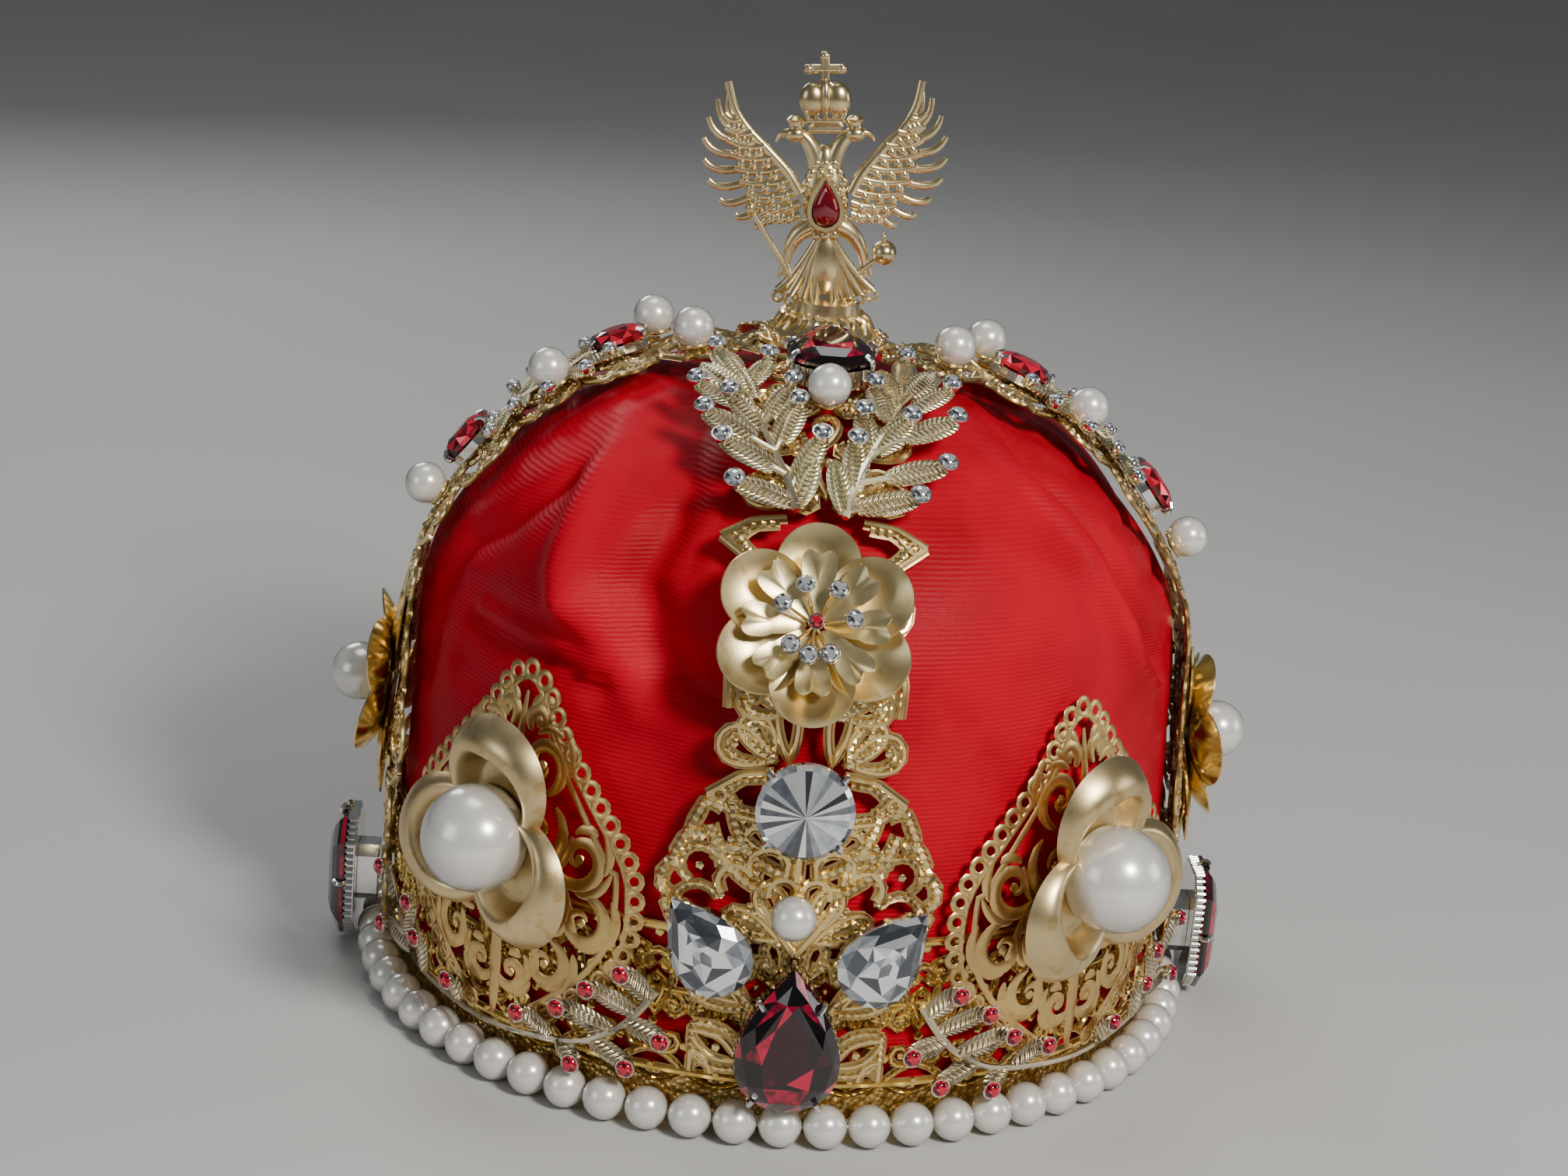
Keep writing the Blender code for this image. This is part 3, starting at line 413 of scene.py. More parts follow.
def piece(name, parts, replaces, surface=None, at=None, sharp=35.0):
    """Finish a piece from its parts: laid on a curved surface, or placed by a matrix, then made metres."""
    whole, finishes = merged(parts)
    if at is not None:
        bmesh.ops.transform(whole, matrix=at, verts=whole.verts)
    mesh = bpy.data.meshes.new(name)
    whole.to_mesh(mesh)
    whole.free()
    flat = np.empty(len(mesh.vertices) * 3)
    mesh.vertices.foreach_get("co", flat)
    flat = flat.reshape(-1, 3)
    if surface:
        flat = surface(flat[:, 0], flat[:, 1], flat[:, 2])
    flat = (flat + (0.0, AXIS_BACK, 0.0)) * 0.001
    mesh.vertices.foreach_set("co", flat.reshape(-1))
    mesh.update()
    mesh.shade_smooth()
    mesh.set_sharp_from_angle(angle=math.radians(sharp))
    for finish in finishes:
        mesh.materials.append(FINISH[finish])
    made = bpy.data.objects.new(name, mesh)
    bpy.context.scene.collection.objects.link(made)
    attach(made, "root")
    if replaces:
        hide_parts(*replaces)
    PIECES.append(made)
    mesh.calc_loop_triangles()
    print(name, len(mesh.loop_triangles), "triangles")
    return made


def moved(bm, matrix):
    bmesh.ops.transform(bm, matrix=matrix, verts=bm.verts)
    return bm


def bevelled(bm, edges, offset):
    bmesh.ops.bevel(bm, geom=edges, offset=offset, segments=1, profile=0.5, affect="EDGES", material=-1)


def only_verts(items):
    return [item for item in items if isinstance(item, bmesh.types.BMVert)]


def ball(radius, segments, rings):
    bm = bmesh.new()
    bmesh.ops.create_uvsphere(bm, u_segments=segments, v_segments=rings, radius=radius)
    return bm


def walled(bm, thickness):
    """Give an open sheet a wall."""
    bmesh.ops.remove_doubles(bm, verts=bm.verts, dist=1e-3)
    bmesh.ops.recalc_face_normals(bm, faces=bm.faces)
    bmesh.ops.solidify(bm, geom=bm.faces[:], thickness=thickness)
    bmesh.ops.recalc_face_normals(bm, faces=bm.faces)
    return bm


# %% Wires
SEED_SIZE = 1.25


def wires_of(lines, squash=1.0, lift=0.0, resolution=1):
    """A bmesh of round wires. Each line is (points, radii, closed); squash flattens them along Z."""
    curve = bpy.data.curves.new("wires", "CURVE")
    curve.dimensions = "3D"
    curve.bevel_depth = 1.0
    curve.bevel_resolution = resolution
    curve.use_fill_caps = True
    for points, radii, closed in lines:
        spline = curve.splines.new("POLY")
        spline.points.add(len(points) - 1)
        spline.use_cyclic_u = closed
        rows = np.ones((len(points), 4))
        rows[:, :np.shape(points)[1]] = points
        if np.shape(points)[1] == 2:
            rows[:, 2] = 0.0
        spline.points.foreach_set("co", rows.reshape(-1))
        spline.points.foreach_set("radius", np.broadcast_to(radii, len(points)).astype(float))
    guide = bpy.data.objects.new("wires", curve)
    bpy.context.scene.collection.objects.link(guide)
    ready = guide.evaluated_get(bpy.context.evaluated_depsgraph_get())
    mesh = bpy.data.meshes.new_from_object(ready)
    bpy.data.objects.remove(guide)
    bpy.data.curves.remove(curve)
    bm = bmesh.new()
    bm.from_mesh(mesh)
    bpy.data.meshes.remove(mesh)
    bmesh.ops.remove_doubles(bm, verts=bm.verts, dist=1e-4)
    bmesh.ops.scale(bm, vec=(1, 1, squash), verts=bm.verts)
    bmesh.ops.translate(bm, vec=(0, 0, lift), verts=bm.verts)
    bmesh.ops.recalc_face_normals(bm, faces=bm.faces)
    return bm


def evenly(points, step, closed=False):
    """The line again with its points about a step apart."""
    points = np.array(points, float)
    if closed:
        points = np.vstack([points, points[:1]])
    length = np.concatenate([[0], np.cumsum(np.linalg.norm(np.diff(points, axis=0), axis=1))])
    count = max(4, 2 * int(round(length[-1] / step / 2)))
    at = np.linspace(0, length[-1], count + 1)
    if closed:
        at = at[:-1]
    return np.stack([np.interp(at, length, points[:, k]) for k in range(points.shape[1])], axis=1)


def plain(points, radius=0.55, closed=False, step=1.7):
    points = evenly(points, step, closed)
    return points, np.full(len(points), radius * 1.22), closed


def seeded(points, radius=0.72, closed=False, pitch=1.8):
    """A wire of seeds: thick and thin by turns."""
    points = evenly(points, pitch / 2, closed)
    radii = np.where(np.arange(len(points)) % 2, radius * 0.48, radius * SEED_SIZE)
    return points, radii, closed


def backing(lines, beyond=0.5):
    """The flat strip of sheet that each raised line of a stamping lies on."""
    strips = []
    for points, radii, closed in lines:
        points = evenly(points, 2.6, closed)
        strips.append((points, np.full(len(points), float(np.max(radii)) + beyond), closed))
    return wires_of(strips, 0.22, -0.30, 0)


def roped(points, radius=1.25, pitch=1.9, closed=False):
    """A wide strap with ribs across it."""
    points = evenly(points, pitch / 2, closed)
    radii = np.where(np.arange(len(points)) % 2, radius * 0.66, radius * 1.1)
    return points, radii, closed


def tapered(points, widest, ends=0.25, step=1.0):
    """A wire that is widest a little before its middle and thin at both ends."""
    points = evenly(points, step)
    t = np.linspace(0, 1, len(points))
    return points, widest * (ends + (1 - ends) * np.sin(math.pi * t ** 0.8) ** 0.8), False


# %% [markdown]
# ## Lines of filigree
# All the scrollwork on this crown comes down to a few lines: an arc, a drop-shaped loop, a pointed eye and a
# scroll that winds in to a seed. Each is a function here, so that a pattern is a short list of calls.

# %% Filigree lines
def arc(x, y, radius, start, stop, tall=1.0):
    angles = np.radians(np.linspace(start, stop, max(6, int(abs(stop - start) / 12) + 2)))
    return np.stack([x + radius * np.cos(angles), y + radius * tall * np.sin(angles)], axis=1)


def loop(x, y, length, width, angle):
    """Drop-shaped loop with its point at (x, y), reaching out in the direction of the angle."""
    t = np.linspace(0, 2 * math.pi, 26, endpoint=False)
    along = length * (1 - np.cos(t)) / 2
    across = width / 2 * np.sin(t) * np.sin(t / 2) / 0.77
    a = math.radians(angle)
    return np.stack([x + along * math.cos(a) - across * math.sin(a),
                     y + along * math.sin(a) + across * math.cos(a)], axis=1)


def eye(x0, y0, x1, y1, width):
    """Pointed oval from one point to the other."""
    t = np.linspace(0, 1, 15)
    bulge = width / 2 * np.sin(math.pi * t)
    step = np.array([x1 - x0, y1 - y0])
    side = np.array([-step[1], step[0]]) / np.linalg.norm(step)
    one = np.array([x0, y0]) + step * t[:, None] + side * bulge[:, None]
    two = np.array([x0, y0]) + step * t[::-1, None] - side * bulge[::-1, None]
    return np.vstack([one, two[1:-1]])


def scroll(x, y, radius, start, turns, hand=1, inner=0.25):
    """Line that winds in round (x, y) from the radius to a share of it."""
    t = np.linspace(0, 1, int(14 * turns) + 4)
    angles = math.radians(start) + hand * 2 * math.pi * turns * t
    radii = radius * (1 - (1 - inner) * t)
    return np.stack([x + radii * np.cos(angles), y + radii * np.sin(angles)], axis=1)


def handed(points, hand, x=0.0, y=0.0):
    """The points moved by x and y, or their mirror image when hand is -1."""
    return points * (hand, 1) + (hand * x, y)


def bosses(places, height=0.75):
    """Domed seeds at (x, y, radius)."""
    bm = bmesh.new()
    for x, y, radius in places:
        at = Matrix.Translation((x, y, 0.1)) @ Matrix.Diagonal((1, 1, height, 1))
        bmesh.ops.create_icosphere(bm, subdivisions=1, radius=radius, matrix=at)
    return bm


print("filigree lines: arc, loop, eye, scroll")

# %% [markdown]
# ## The string of rim beads
# The crown stands on 62 round beads, each with a bore that its thread runs through. One bead is made with its
# poles on the thread and copied round, each with a hair of difference in size, as in any bag of such beads.

# %% Rim beads
BEADS, BEAD_RADIUS, BEAD_CIRCLE = 62, 5.0, 99.5


def rim_bead(number):
    """One bead in its place on the string."""
    size = BEAD_RADIUS * (0.985 + 0.012 * math.sin(number * 2.3))
    place = facing(360.0 * number / BEADS, BEAD_CIRCLE, BEAD_RADIUS)
    return moved(ball(size, 20, 14), place @ Matrix.Rotation(math.radians(90), 4, "Y"))


beads = [(rim_bead(number), "pearl") for number in range(BEADS)]
thread = np.array([[BEAD_CIRCLE * math.sin(a), -BEAD_CIRCLE * math.cos(a), BEAD_RADIUS]
                   for a in np.linspace(0, 2 * math.pi, 2 * BEADS, endpoint=False)])
beads.append((wires_of([(thread, 0.5, True)]), "silver"))
piece("rim_bead_string", beads, ["rim_pearls"])

# %% [markdown]
# ## The band
# On the real crown the band is stamped lace: pairs of seeded scrolls that meet under a drop, between a plain
# top rail and a plain foot. The foot stands behind the beads. One motif is drawn and repeated round the head,
# and the whole strip is laid on the curved wall.

# %% Band
MOTIFS = 40
PITCH = 2 * math.pi * BAND_RADIUS / MOTIFS
RAIL_POINTS = 160
FOOT_RADIUS, FOOT_HEIGHT = 93.2, 13.0
MIDDLE_SEEDS = [(46.0, 1.2), (24.8, 1.3), (35.0, 0.9), (13.8, 0.9), (20.0, 0.8)]
SEEDS_BETWEEN = [(43.5, 1.2), (19.6, 1.15), (36.0, 0.85)]
# The kind of wire and its radius, the scroll's place, its seed's radius, and the numbers of the scroll.
BAND_CURLS = [(seeded, 0.62, 4.1, 40.5, 1.05, (3.9, 200, 1.35)),
              (seeded, 0.60, 4.3, 28.8, 1.0, (3.3, 90, 1.3, -1)),
              (plain, 0.52, 3.8, 20.2, 0.85, (2.9, 250, 1.2))]


def band_motif(x):
    """Lines and seeds of one motif whose middle is at x."""
    lines = [seeded(loop(x, 26.5, 15.0, 8.0, 90), 0.62, True),
             plain(loop(x, 28.0, 8.0, 3.6, 90), 0.45, True),
             seeded(eye(x - PITCH / 2, 13.5, x + PITCH / 2, 13.5, 8.5), 0.55, True)]
    seeds = [(x, y, radius) for y, radius in MIDDLE_SEEDS]
    seeds += [(x + PITCH / 2, y, radius) for y, radius in SEEDS_BETWEEN]
    for hand in (-1, 1):
        for style, radius, out, y, seed, curl in BAND_CURLS:
            lines.append(style(handed(scroll(0, 0, *curl), hand, out, y) + (x, 0), radius))
            seeds.append((x + hand * out, y, seed))
    return lines, seeds


def rail(height, radius):
    """A level wire round the band, in four lengths."""
    around = np.linspace(0, 2 * math.pi * BAND_RADIUS, RAIL_POINTS + 1)
    line = np.stack([around, np.full(RAIL_POINTS + 1, height)], axis=1)
    quarter = RAIL_POINTS // 4
    return [(line[k:k + quarter + 1], radius, False) for k in range(0, RAIL_POINTS, quarter)]


band_lines, band_seeds = rail(47.2, 0.8) + rail(13.2, 0.9) + rail(32.6, 0.5), []
for number in range(MOTIFS):
    lines, seeds = band_motif(number * PITCH)
    band_lines += lines
    band_seeds += seeds
foot = bmesh.new()
bmesh.ops.create_circle(foot, segments=112, radius=FOOT_RADIUS)
edges = bmesh.ops.extrude_edge_only(foot, edges=foot.edges[:])["geom"]
bmesh.ops.translate(foot, vec=(0, 0, FOOT_HEIGHT), verts=only_verts(edges))
bent = []
# The sheet behind the wires takes the darker gold of painted shade.
for bm, finish in ((wires_of(band_lines, 0.8), "yellow"), (backing(band_lines, 0.3), "backing_shade"),
                   (bosses(band_seeds), "yellow")):
    points = np.array([v.co for v in bm.verts])
    for vertex, place in zip(bm.verts, band_surface(*points.T)):
        vertex.co = place
    bent.append((bm, finish))
piece("band_lace", bent + [(walled(foot, 1.2), "grained")], ["base_band"])

# %% [markdown]
# ## Pointed plates
# These four are thin flat stampings with a row of small round holes along the edge and curling leaves inside.
# The edge is a row of flat rings with a strip beside them, the leaves are flattened tapered wires, and all of
# it lies on the outside of the band.

# %% Pointed plate
EDGE_HOLES = [(0.0, 96.8), (5.4, 94.8), (8.2, 90.5), (11.3, 86.0), (14.6, 82.0), (18.4, 78.0), (22.3, 74.0),
              (25.9, 70.1), (29.8, 66.0), (33.2, 61.6), (35.4, 56.8), (36.2, 51.6), (36.2, 46.2),
              (35.2, 41.0), (32.8, 36.2), (29.4, 32.0), (25.4, 28.2), (21.0, 24.8), (16.6, 21.6),
              (12.0, 18.6), (7.4, 16.2)]
# Curls: place, radius, starting angle, turns and the way they wind. Spurs: turn from the start, share of size.
LEAF_CURLS = [(8.0, 77.0, 6.6, 285, 1.2, 1), (9.5, 62.0, 7.8, 60, 1.25, -1), (21.5, 59.0, 7.2, 200, 1.2, 1),
              (23.5, 44.5, 7.0, 95, 1.2, -1), (10.5, 45.5, 7.6, 250, 1.25, 1), (14.5, 32.0, 6.4, 80, 1.15, -1),
              (5.0, 27.0, 4.6, 200, 1.1, 1), (5.0, 86.5, 3.2, 240, 1.1, -1)]
SPURS = ((60, 1.05), (130, 0.85), (215, 0.62))
HOLE_PITCH, RING_RADIUS = 4.35, 1.85


def plate_parts():
    """Flat parts of one pointed plate: edge rings that touch, inner strip and curling leaves."""
    rings, curls, seeds = [], [], []
    for hand in (-1, 1):
        edge = evenly(EDGE_HOLES, HOLE_PITCH)
        for x, y in edge[(0 if hand > 0 else 1):]:
            rings.append(plain(arc(hand * x, y, RING_RADIUS, 0, 330), 0.60, True, 1.1))
        rings.append(plain(handed(edge, hand, -1.6, -1.2), 0.50, step=2.0))
        inner = np.array([(x * 0.87 + 0.001, y - 3.4 if y > 60 else y + 1.0) for x, y in EDGE_HOLES[1:]])
        curls.append(plain(handed(inner, hand), 0.62, step=2.0))
        for x, y, size, start, turns, spin in LEAF_CURLS:
            curl = scroll(0, 0, size, start, turns, spin, 0.2)
            curls.append(tapered(handed(curl, hand, x, y), 1.7))
            for turn, share in SPURS:
                spur = arc(0, 0, size * share, start + turn * spin, start + (turn + 80) * spin, 1.25)
                curls.append(tapered(handed(spur, hand, x + 1.2, y + 1.5), 1.25))
            seeds.append((hand * x, y, 1.3))
    curls.append(tapered(np.array([[0.0, 15.0], [0.0, 30.0], [0.0, 44.0]]), 1.8))
    curls.append(tapered(np.array([[0.0, 52.0], [0.0, 68.0], [0.0, 92.0]]), 1.6))
    return [(bm, "plate") for bm in (wires_of(rings, 0.38), wires_of(curls, 0.26), bosses(seeds, 0.3))]


for corner, azimuth in CORNERS.items():
    piece("pierced_plate_" + corner, plate_parts(), ["point_plate_" + corner], plate_surface(azimuth))

# %% [markdown]
# ## The arches
# Each arch is a narrow stamping of fans, eyes and drops, seeded along every line, with ribbed straps where
# it spreads at the crystal. The front arch follows the real one line by line where it shows. The other three
# repeat a motif of the same lines, because flowers, stones and leaves cover most of them.

# %% Fans and eyes of an arch
def fan(side, x, s, size=1.0):
    """Two lobes of wire round a seed, each with a seeded loop inside: lines and seeds."""
    lines, seeds = [], []
    for angle, length, width in ((18, 12.5, 8.6), (56, 11.5, 7.0)):
        length, width, a = length * size, width * size, math.radians(angle)
        lines.append(plain(handed(loop(0, 0, length, width, angle), side, x, s), 0.56, True))
        inner = loop(0, 0, length * 0.84, width * 0.66, angle)
        lines.append(seeded(handed(inner, side, x, s), 0.74, True))
        tip = 0.72 * length
        seeds.append((side * (x + tip * math.cos(a)), s + tip * math.sin(a), 0.95))
    seeds += [(side * (x + 2.0), s + 1.2, 0.9), (side * x, s, 1.1), (side * (x + 4.0), s + 5.6, 0.8)]
    return lines, seeds


def eye_lobe(side, s, reach, drop=0.0):
    """Pointed lobe at the edge with a round hole near its point."""
    tip = (0.0, -drop)
    lines = [style(handed(np.array(points), side, reach, s), radius)
             for style, radius, *points in ((plain, 0.62, (-14.0, 5.6), (-7.0, 4.4), tip),
                                            (plain, 0.62, (-14.0, -5.8), (-6.5, -4.8), tip),
                                            (seeded, 0.6, (-12.5, 3.9), (-7.0, 3.0), (-4.2, 0.0)),
                                            (seeded, 0.6, (-12.5, -4.2), (-7.0, -3.4), (-4.2, 0.0)))]
    lines.append(plain(arc(side * (reach - 2.7), s - drop * 0.8, 1.35, 0, 330), 0.5, True, 0.9))
    return lines, [(side * (reach - 5.0), s + 1.7, 0.7), (side * (reach - 5.2), s - 2.0, 0.7)]


def arch_rows():
    """Repeated motif for the arches that ornaments cover, from the foot to the top."""
    lines, seeds = [], []
    for s in np.arange(3.0, 196.0, 19.2):
        wide = half_width(s + 8.0)
        size = wide / 21.0
        for side in (-1, 1):
            for more, dots in (fan(side, wide - 12.6 * size, s + 5.0, size), eye_lobe(side, s + 1.6, wide)):
                lines += more
                seeds += dots
            curl = scroll(0, 0, 4.6 * size, 100, 1.3, 1)
            lines.append(seeded(handed(curl, side, 5.0 * size, s + 3.4), 0.66))
            strap = arc(0, 0, 6.0 * size, 200, 340)
            lines.append(roped(handed(strap, side, 7.0 * size, s + 16.5), 0.9))
            seeds.append((side * 5.0 * size, s + 3.4, 1.1))
        lines.append(plain(loop(0, s + 7.0, 12.0, 6.4 * size, 90), 0.6, True))
        lines.append(seeded(loop(0, s + 8.0, 9.0, 3.4 * size, 90), 0.55, True))
        seeds += [(0, s + 17.5, 1.2), (0, s + 5.4, 1.0), (0, s + 1.0, 0.8)]
    return lines, seeds


# %% Lines of the front arch
def straight(x0, y0, x1, y1):
    return np.array([(x0, y0), (x1, y1)])


# The kind of wire, its radius, the function that draws it, and its numbers for each line.
FRONT_LINES = [
    (roped, 1.25, arc, (24.6, 55.5, 4.2, -60, 140), (20.8, 62.0, 4.4, -60, 130), (27.4, 48.0, 3.6, -80, 120),
     (25.0, 38.0, 4.2, -70, 110)),
    (roped, 1.2, arc, (0.5, 67.0, 15.4, -78, -2), (2.0, 65.5, 18.8, -74, -12)),
    (roped, 1.1, arc, (14.5, 52.0, 5.0, 200, 20)),
    (roped, 1.0, arc, (-1.0, 68.0, 12.2, -90, -20), (29.0, 40.0, 3.2, -90, 100)),
    (roped, 0.9, arc, (24.0, 64.5, 2.6, -40, 170)),
    (seeded, 0.65, arc, (14.5, 52.0, 2.8, 220, -40), (22.0, 52.0, 4.4, 180, -60), (22.0, 42.5, 5.2, 150, -80)),
    (seeded, 0.7, arc, (8.5, 37.0, 5.4, 60, -120), (6.0, 66.0, 9.5, -80, 10)),
    (seeded, 0.66, scroll, (11.0, 30.0, 4.0, 80, 1.2, -1)),
    (plain, 0.85, arc, (7.0, 53.0, 4.4, 165, -25), (14.0, 49.0, 3.9, 150, -40)),
    (plain, 0.8, arc, (3.6, 47.6, 3.2, 200, -20)),
    (plain, 0.7, arc, (10.0, 59.0, 3.0, 180, 20)),
    (plain, 0.6, arc, (14.0, 19.0, 5.2, 200, 20), (21.0, 3.5, 4.6, 0, 180)),
    (plain, 0.7, straight, (3.4, 50.4, 3.0, 54.4)),
    (plain, 0.9, straight, (0.0, 33.5, 8.0, 44.5)),
    (plain, 0.5, straight, (0.0, 36.0, 6.0, 44.0)),
    (seeded, 0.72, eye, (9.0, 20.0, 27.0, 30.0, 9.0), (8.0, 5.5, 24.0, 14.5, 9.5)),
    (plain, 0.5, eye, (11.5, 21.4, 24.5, 28.6, 4.6), (10.5, 7.0, 21.5, 13.2, 5.0)),
    (plain, 0.62, loop, (2.6, 38.5, 12.0, 6.2, 62), (4.0, 37.0, 13.0, 5.6, 22)),
    (seeded, 0.66, loop, (3.6, 40.6, 8.4, 3.4, 62), (6.0, 38.0, 9.0, 2.8, 22), (2.5, 28.0, 9.0, 4.4, 70))]
# Seeds by their radius.
FRONT_SEEDS = {
    1.2: [(14.5, 52.0), (22.0, 42.5)],
    1.1: [(22.0, 52.0), (11.0, 30.0), (16.0, 25.0), (15.5, 10.0)],
    1.0: [(18.5, 58.5), (6.0, 31.0), (17.0, 46.0)],
    0.9: [(26.0, 43.0)],
    0.85: [(17.6, 55.0), (19.2, 56.4), (17.0, 57.2), (15.4, 56.0), (15.8, 58.8), (12.4, 56.6), (13.6, 58.0),
           (10.8, 62.6), (12.2, 61.4), (13.4, 63.2), (26.0, 57.0), (24.6, 58.6), (27.4, 51.6), (19.4, 66.4),
           (20.8, 67.4), (18.2, 67.6), (9.4, 43.0), (10.6, 44.4), (8.2, 45.0), (4.8, 56.0)]}


def front_rows():
    """The front arch: flare with ribbed straps, trefoil, crystal seat, fans, neck and the strip above."""
    lines, seeds = [], []
    for side in (-1, 1):
        for style, radius, draw, *rows in FRONT_LINES:
            lines += [style(handed(draw(*row), side), radius, closed=draw in (eye, loop)) for row in rows]
        seeds += [(side * x, s, radius) for radius, places in FRONT_SEEDS.items() for x, s in places]
        for more, dots in (eye_lobe(side, 69.0, 21.6, 0.8), eye_lobe(side, 126.0, 22.4),
                           fan(side, 8.0, 77.5, 1.0), fan(side, 7.0, 108.0, 1.05), fan(side, 6.0, 88.0, 0.9)):
            lines += more
            seeds += dots
        neck = handed(np.array([[18.6, 88.0], [18.9, 95.0], [17.4, 102.0]]), side)
        lines += [plain(handed(loop(0, 0, 15.0, 4.6, 84), side, 4.6, 77.0), 0.6, True), plain(neck, 0.62),
                  roped(handed(arc(0, 0, 7.0, 190, 350), side, 10.0, 120.0), 0.9)]
        lines += [plain(arc(side * x, s, 1.5, 0, 330), 0.5, True, 0.9)
                  for x, s in ((13.2, 91.0), (13.2, 94.0), (15.6, 92.6))]
    lines.append(plain(straight(-0.8, 50.5, -0.7, 57.5), 1.0))
    for s in np.arange(134.0, 196.0, 15.0):
        wide = half_width(s + 6.0)
        for side in (-1, 1):
            more, dots = fan(side, wide - 12.4, s + 2.0, 0.95)
            lines += more
            seeds += dots
            lines.append(seeded(handed(scroll(0, 0, 4.0, 80, 1.3, -1), side, 4.4, s + 3.0), 0.66))
        lines.append(plain(loop(0, s + 4.0, 10.0, 5.0, 90), 0.55, True))
        seeds.append((0, s + 13.0, 1.0))
    return lines, seeds


def kept_on_arch(lines, seeds):
    """Only what lies on the strip: nothing beyond its sides or its two ends."""
    kept = []
    for points, radii, closed in lines:
        limit = np.array([half_width(s) for s in points[:, 1]])
        inside = np.clip(points[:, 0], -limit, limit)
        kept.append((np.stack([inside, np.clip(points[:, 1], 0.8, 196.0)], axis=1), radii, closed))
    return kept, [(x, s, r) for x, s, r in seeds if 1.0 < s < 195.0 and abs(x) < half_width(s) - 0.4]


for name, azimuth in ARCHES.items():
    lines, seeds = kept_on_arch(*(front_rows() if name == "front" else arch_rows()))
    # The sheet behind the wires takes the darker gold of painted shade.
    parts = [(wires_of(lines, 0.8), "champagne"), (backing(lines), "backing_shade"), (bosses(seeds), "champagne")]
    piece("filigree_arch_" + name, parts, ["arch_" + name], arch_surface(azimuth))

# %% [markdown]
# ## Cut stones
# A stone is the convex hull of a few outlines of corners at several heights. Where one outline uses every
# second corner and the next uses the ones between, the hull makes the kite and triangle facets of a real cut
# by itself. The faces stay flat shaded, as polished facets meet at crisp edges.

# %% Outlines and the hull cut
def pear_outline(width, height, count=24):
    """Corners of a drop, starting at its point."""
    t = 2 * math.pi * np.arange(count) / count
    return np.stack([-width / 2 * np.sin(t) * np.sin(t / 2) / 0.7698, height / 2 * np.cos(t)], axis=1)


def oval_outline(width, height, count=16):
    t = 2 * math.pi * (np.arange(count) + 0.5) / count
    return np.stack([-width / 2 * np.sin(t), height / 2 * np.cos(t)], axis=1)


def octagon_outline(width, height, corner):
    x, y = width / 2, height / 2
    return np.array([(x - corner, y), (corner - x, y), (-x, y - corner), (-x, corner - y),
                     (corner - x, -y), (x - corner, -y), (x, corner - y), (x, y - corner)])


def hull_cut(outline, rows):
    """Hull of the outline at each row: scale, height, every how many corners, and which comes first.
    Each facet keeps a tone between 0 and 1 for its painted reflection, the same for all the triangles that lie
    in it."""
    bm = bmesh.new()
    for scale, height, every, first in rows:
        for x, y in outline[first::every]:
            bm.verts.new((x * scale, y * scale, height))
    bmesh.ops.convex_hull(bm, input=bm.verts[:])
    bmesh.ops.recalc_face_normals(bm, faces=bm.faces)
    bm.normal_update()
    tone = bm.faces.layers.float.new("facet")
    for face in bm.faces:
        x, y, z = (round(v * 20) for v in face.normal)
        face[tone] = 0.5 + 0.5 * math.sin(12.9898 * x + 78.233 * y + 37.719 * z)
    return bm


def drop_cut(width, height, pavilion, crown, domed=()):
    """Drop cut; domed gives more rows of facets in place of a bare table."""
    rows = [(0.50, crown, 4, 0), (0.68, crown * 0.90, 4, 2), (0.86, crown * 0.60, 2, 1), (1.0, 0.5, 1, 0),
            (1.0, -0.4, 1, 0), (0.7, -pavilion * 0.6, 2, 0), (0.35, -pavilion, 2, 1)]
    return hull_cut(pear_outline(width, height), [*domed, *rows])


# %% Claws and trays
def claw_at(x, y, low, top, lean=1.0, thick=0.62):
    """A claw that rises beside the girdle and folds over it, as one thick wire with a round tip."""
    edge = Vector((x, y, 0.0))
    step = edge.normalized()
    route = ((-1.6, low), (0.7, low + 0.8), (0.9, top * 0.45), (0.1, top), (-lean, top + 0.35))
    line = smooth_line([edge + step * out + Vector((0, 0, z)) for out, z in route], 4)
    return line, np.linspace(thick, thick * 1.15, len(line)), False


def tray(outline, floor, seat, scale=0.96):
    """Silver wall behind a stone, with a lip: an outline extruded and inset."""
    bm = bmesh.new()
    face = bm.faces.new([bm.verts.new((x * scale, y * scale, floor)) for x, y in outline])
    side = bmesh.ops.extrude_face_region(bm, geom=[face])["geom"]
    bmesh.ops.translate(bm, vec=(0, 0, seat - floor), verts=only_verts(side))
    top = [f for f in side if isinstance(f, bmesh.types.BMFace)]
    bmesh.ops.inset_region(bm, faces=top, thickness=0.8, depth=0.0)
    bmesh.ops.translate(bm, vec=(0, 0, -0.5), verts=list({v for f in top for v in f.verts}))
    bmesh.ops.recalc_face_normals(bm, faces=bm.faces)
    bevelled(bm, [e for e in bm.edges if e.calc_face_angle(0.0) > 1.0], 0.18)
    return bm


# %% Garnets in claws
def claw_set(name, outline, stone, at, floor, seat, claws, top, foot=None):
    """A stone and its setting, as two pieces that stand for their two solids."""
    piece(name + "_stone", [(stone, "garnet")], [name], at=at, sharp=1.0)
    low = floor if foot is None else foot
    rim = evenly(outline * 0.97, 1.7, True)
    flutes = [(np.array([[x, y, low + 0.4], [x, y, seat + 0.2]]), 0.55, False) for x, y in rim]
    hooks = [claw_at(x, y, seat - 0.4, top) for x, y in claws]
    metal = [tray(outline, low, seat, 0.95), wires_of(hooks, resolution=2), wires_of(flutes)]
    if foot is not None:
        metal.append(tray(outline, floor, foot + 0.1, 0.47))
    piece(name + "_claws", [(bm, "silver") for bm in metal], [name + "_setting"], at=at)


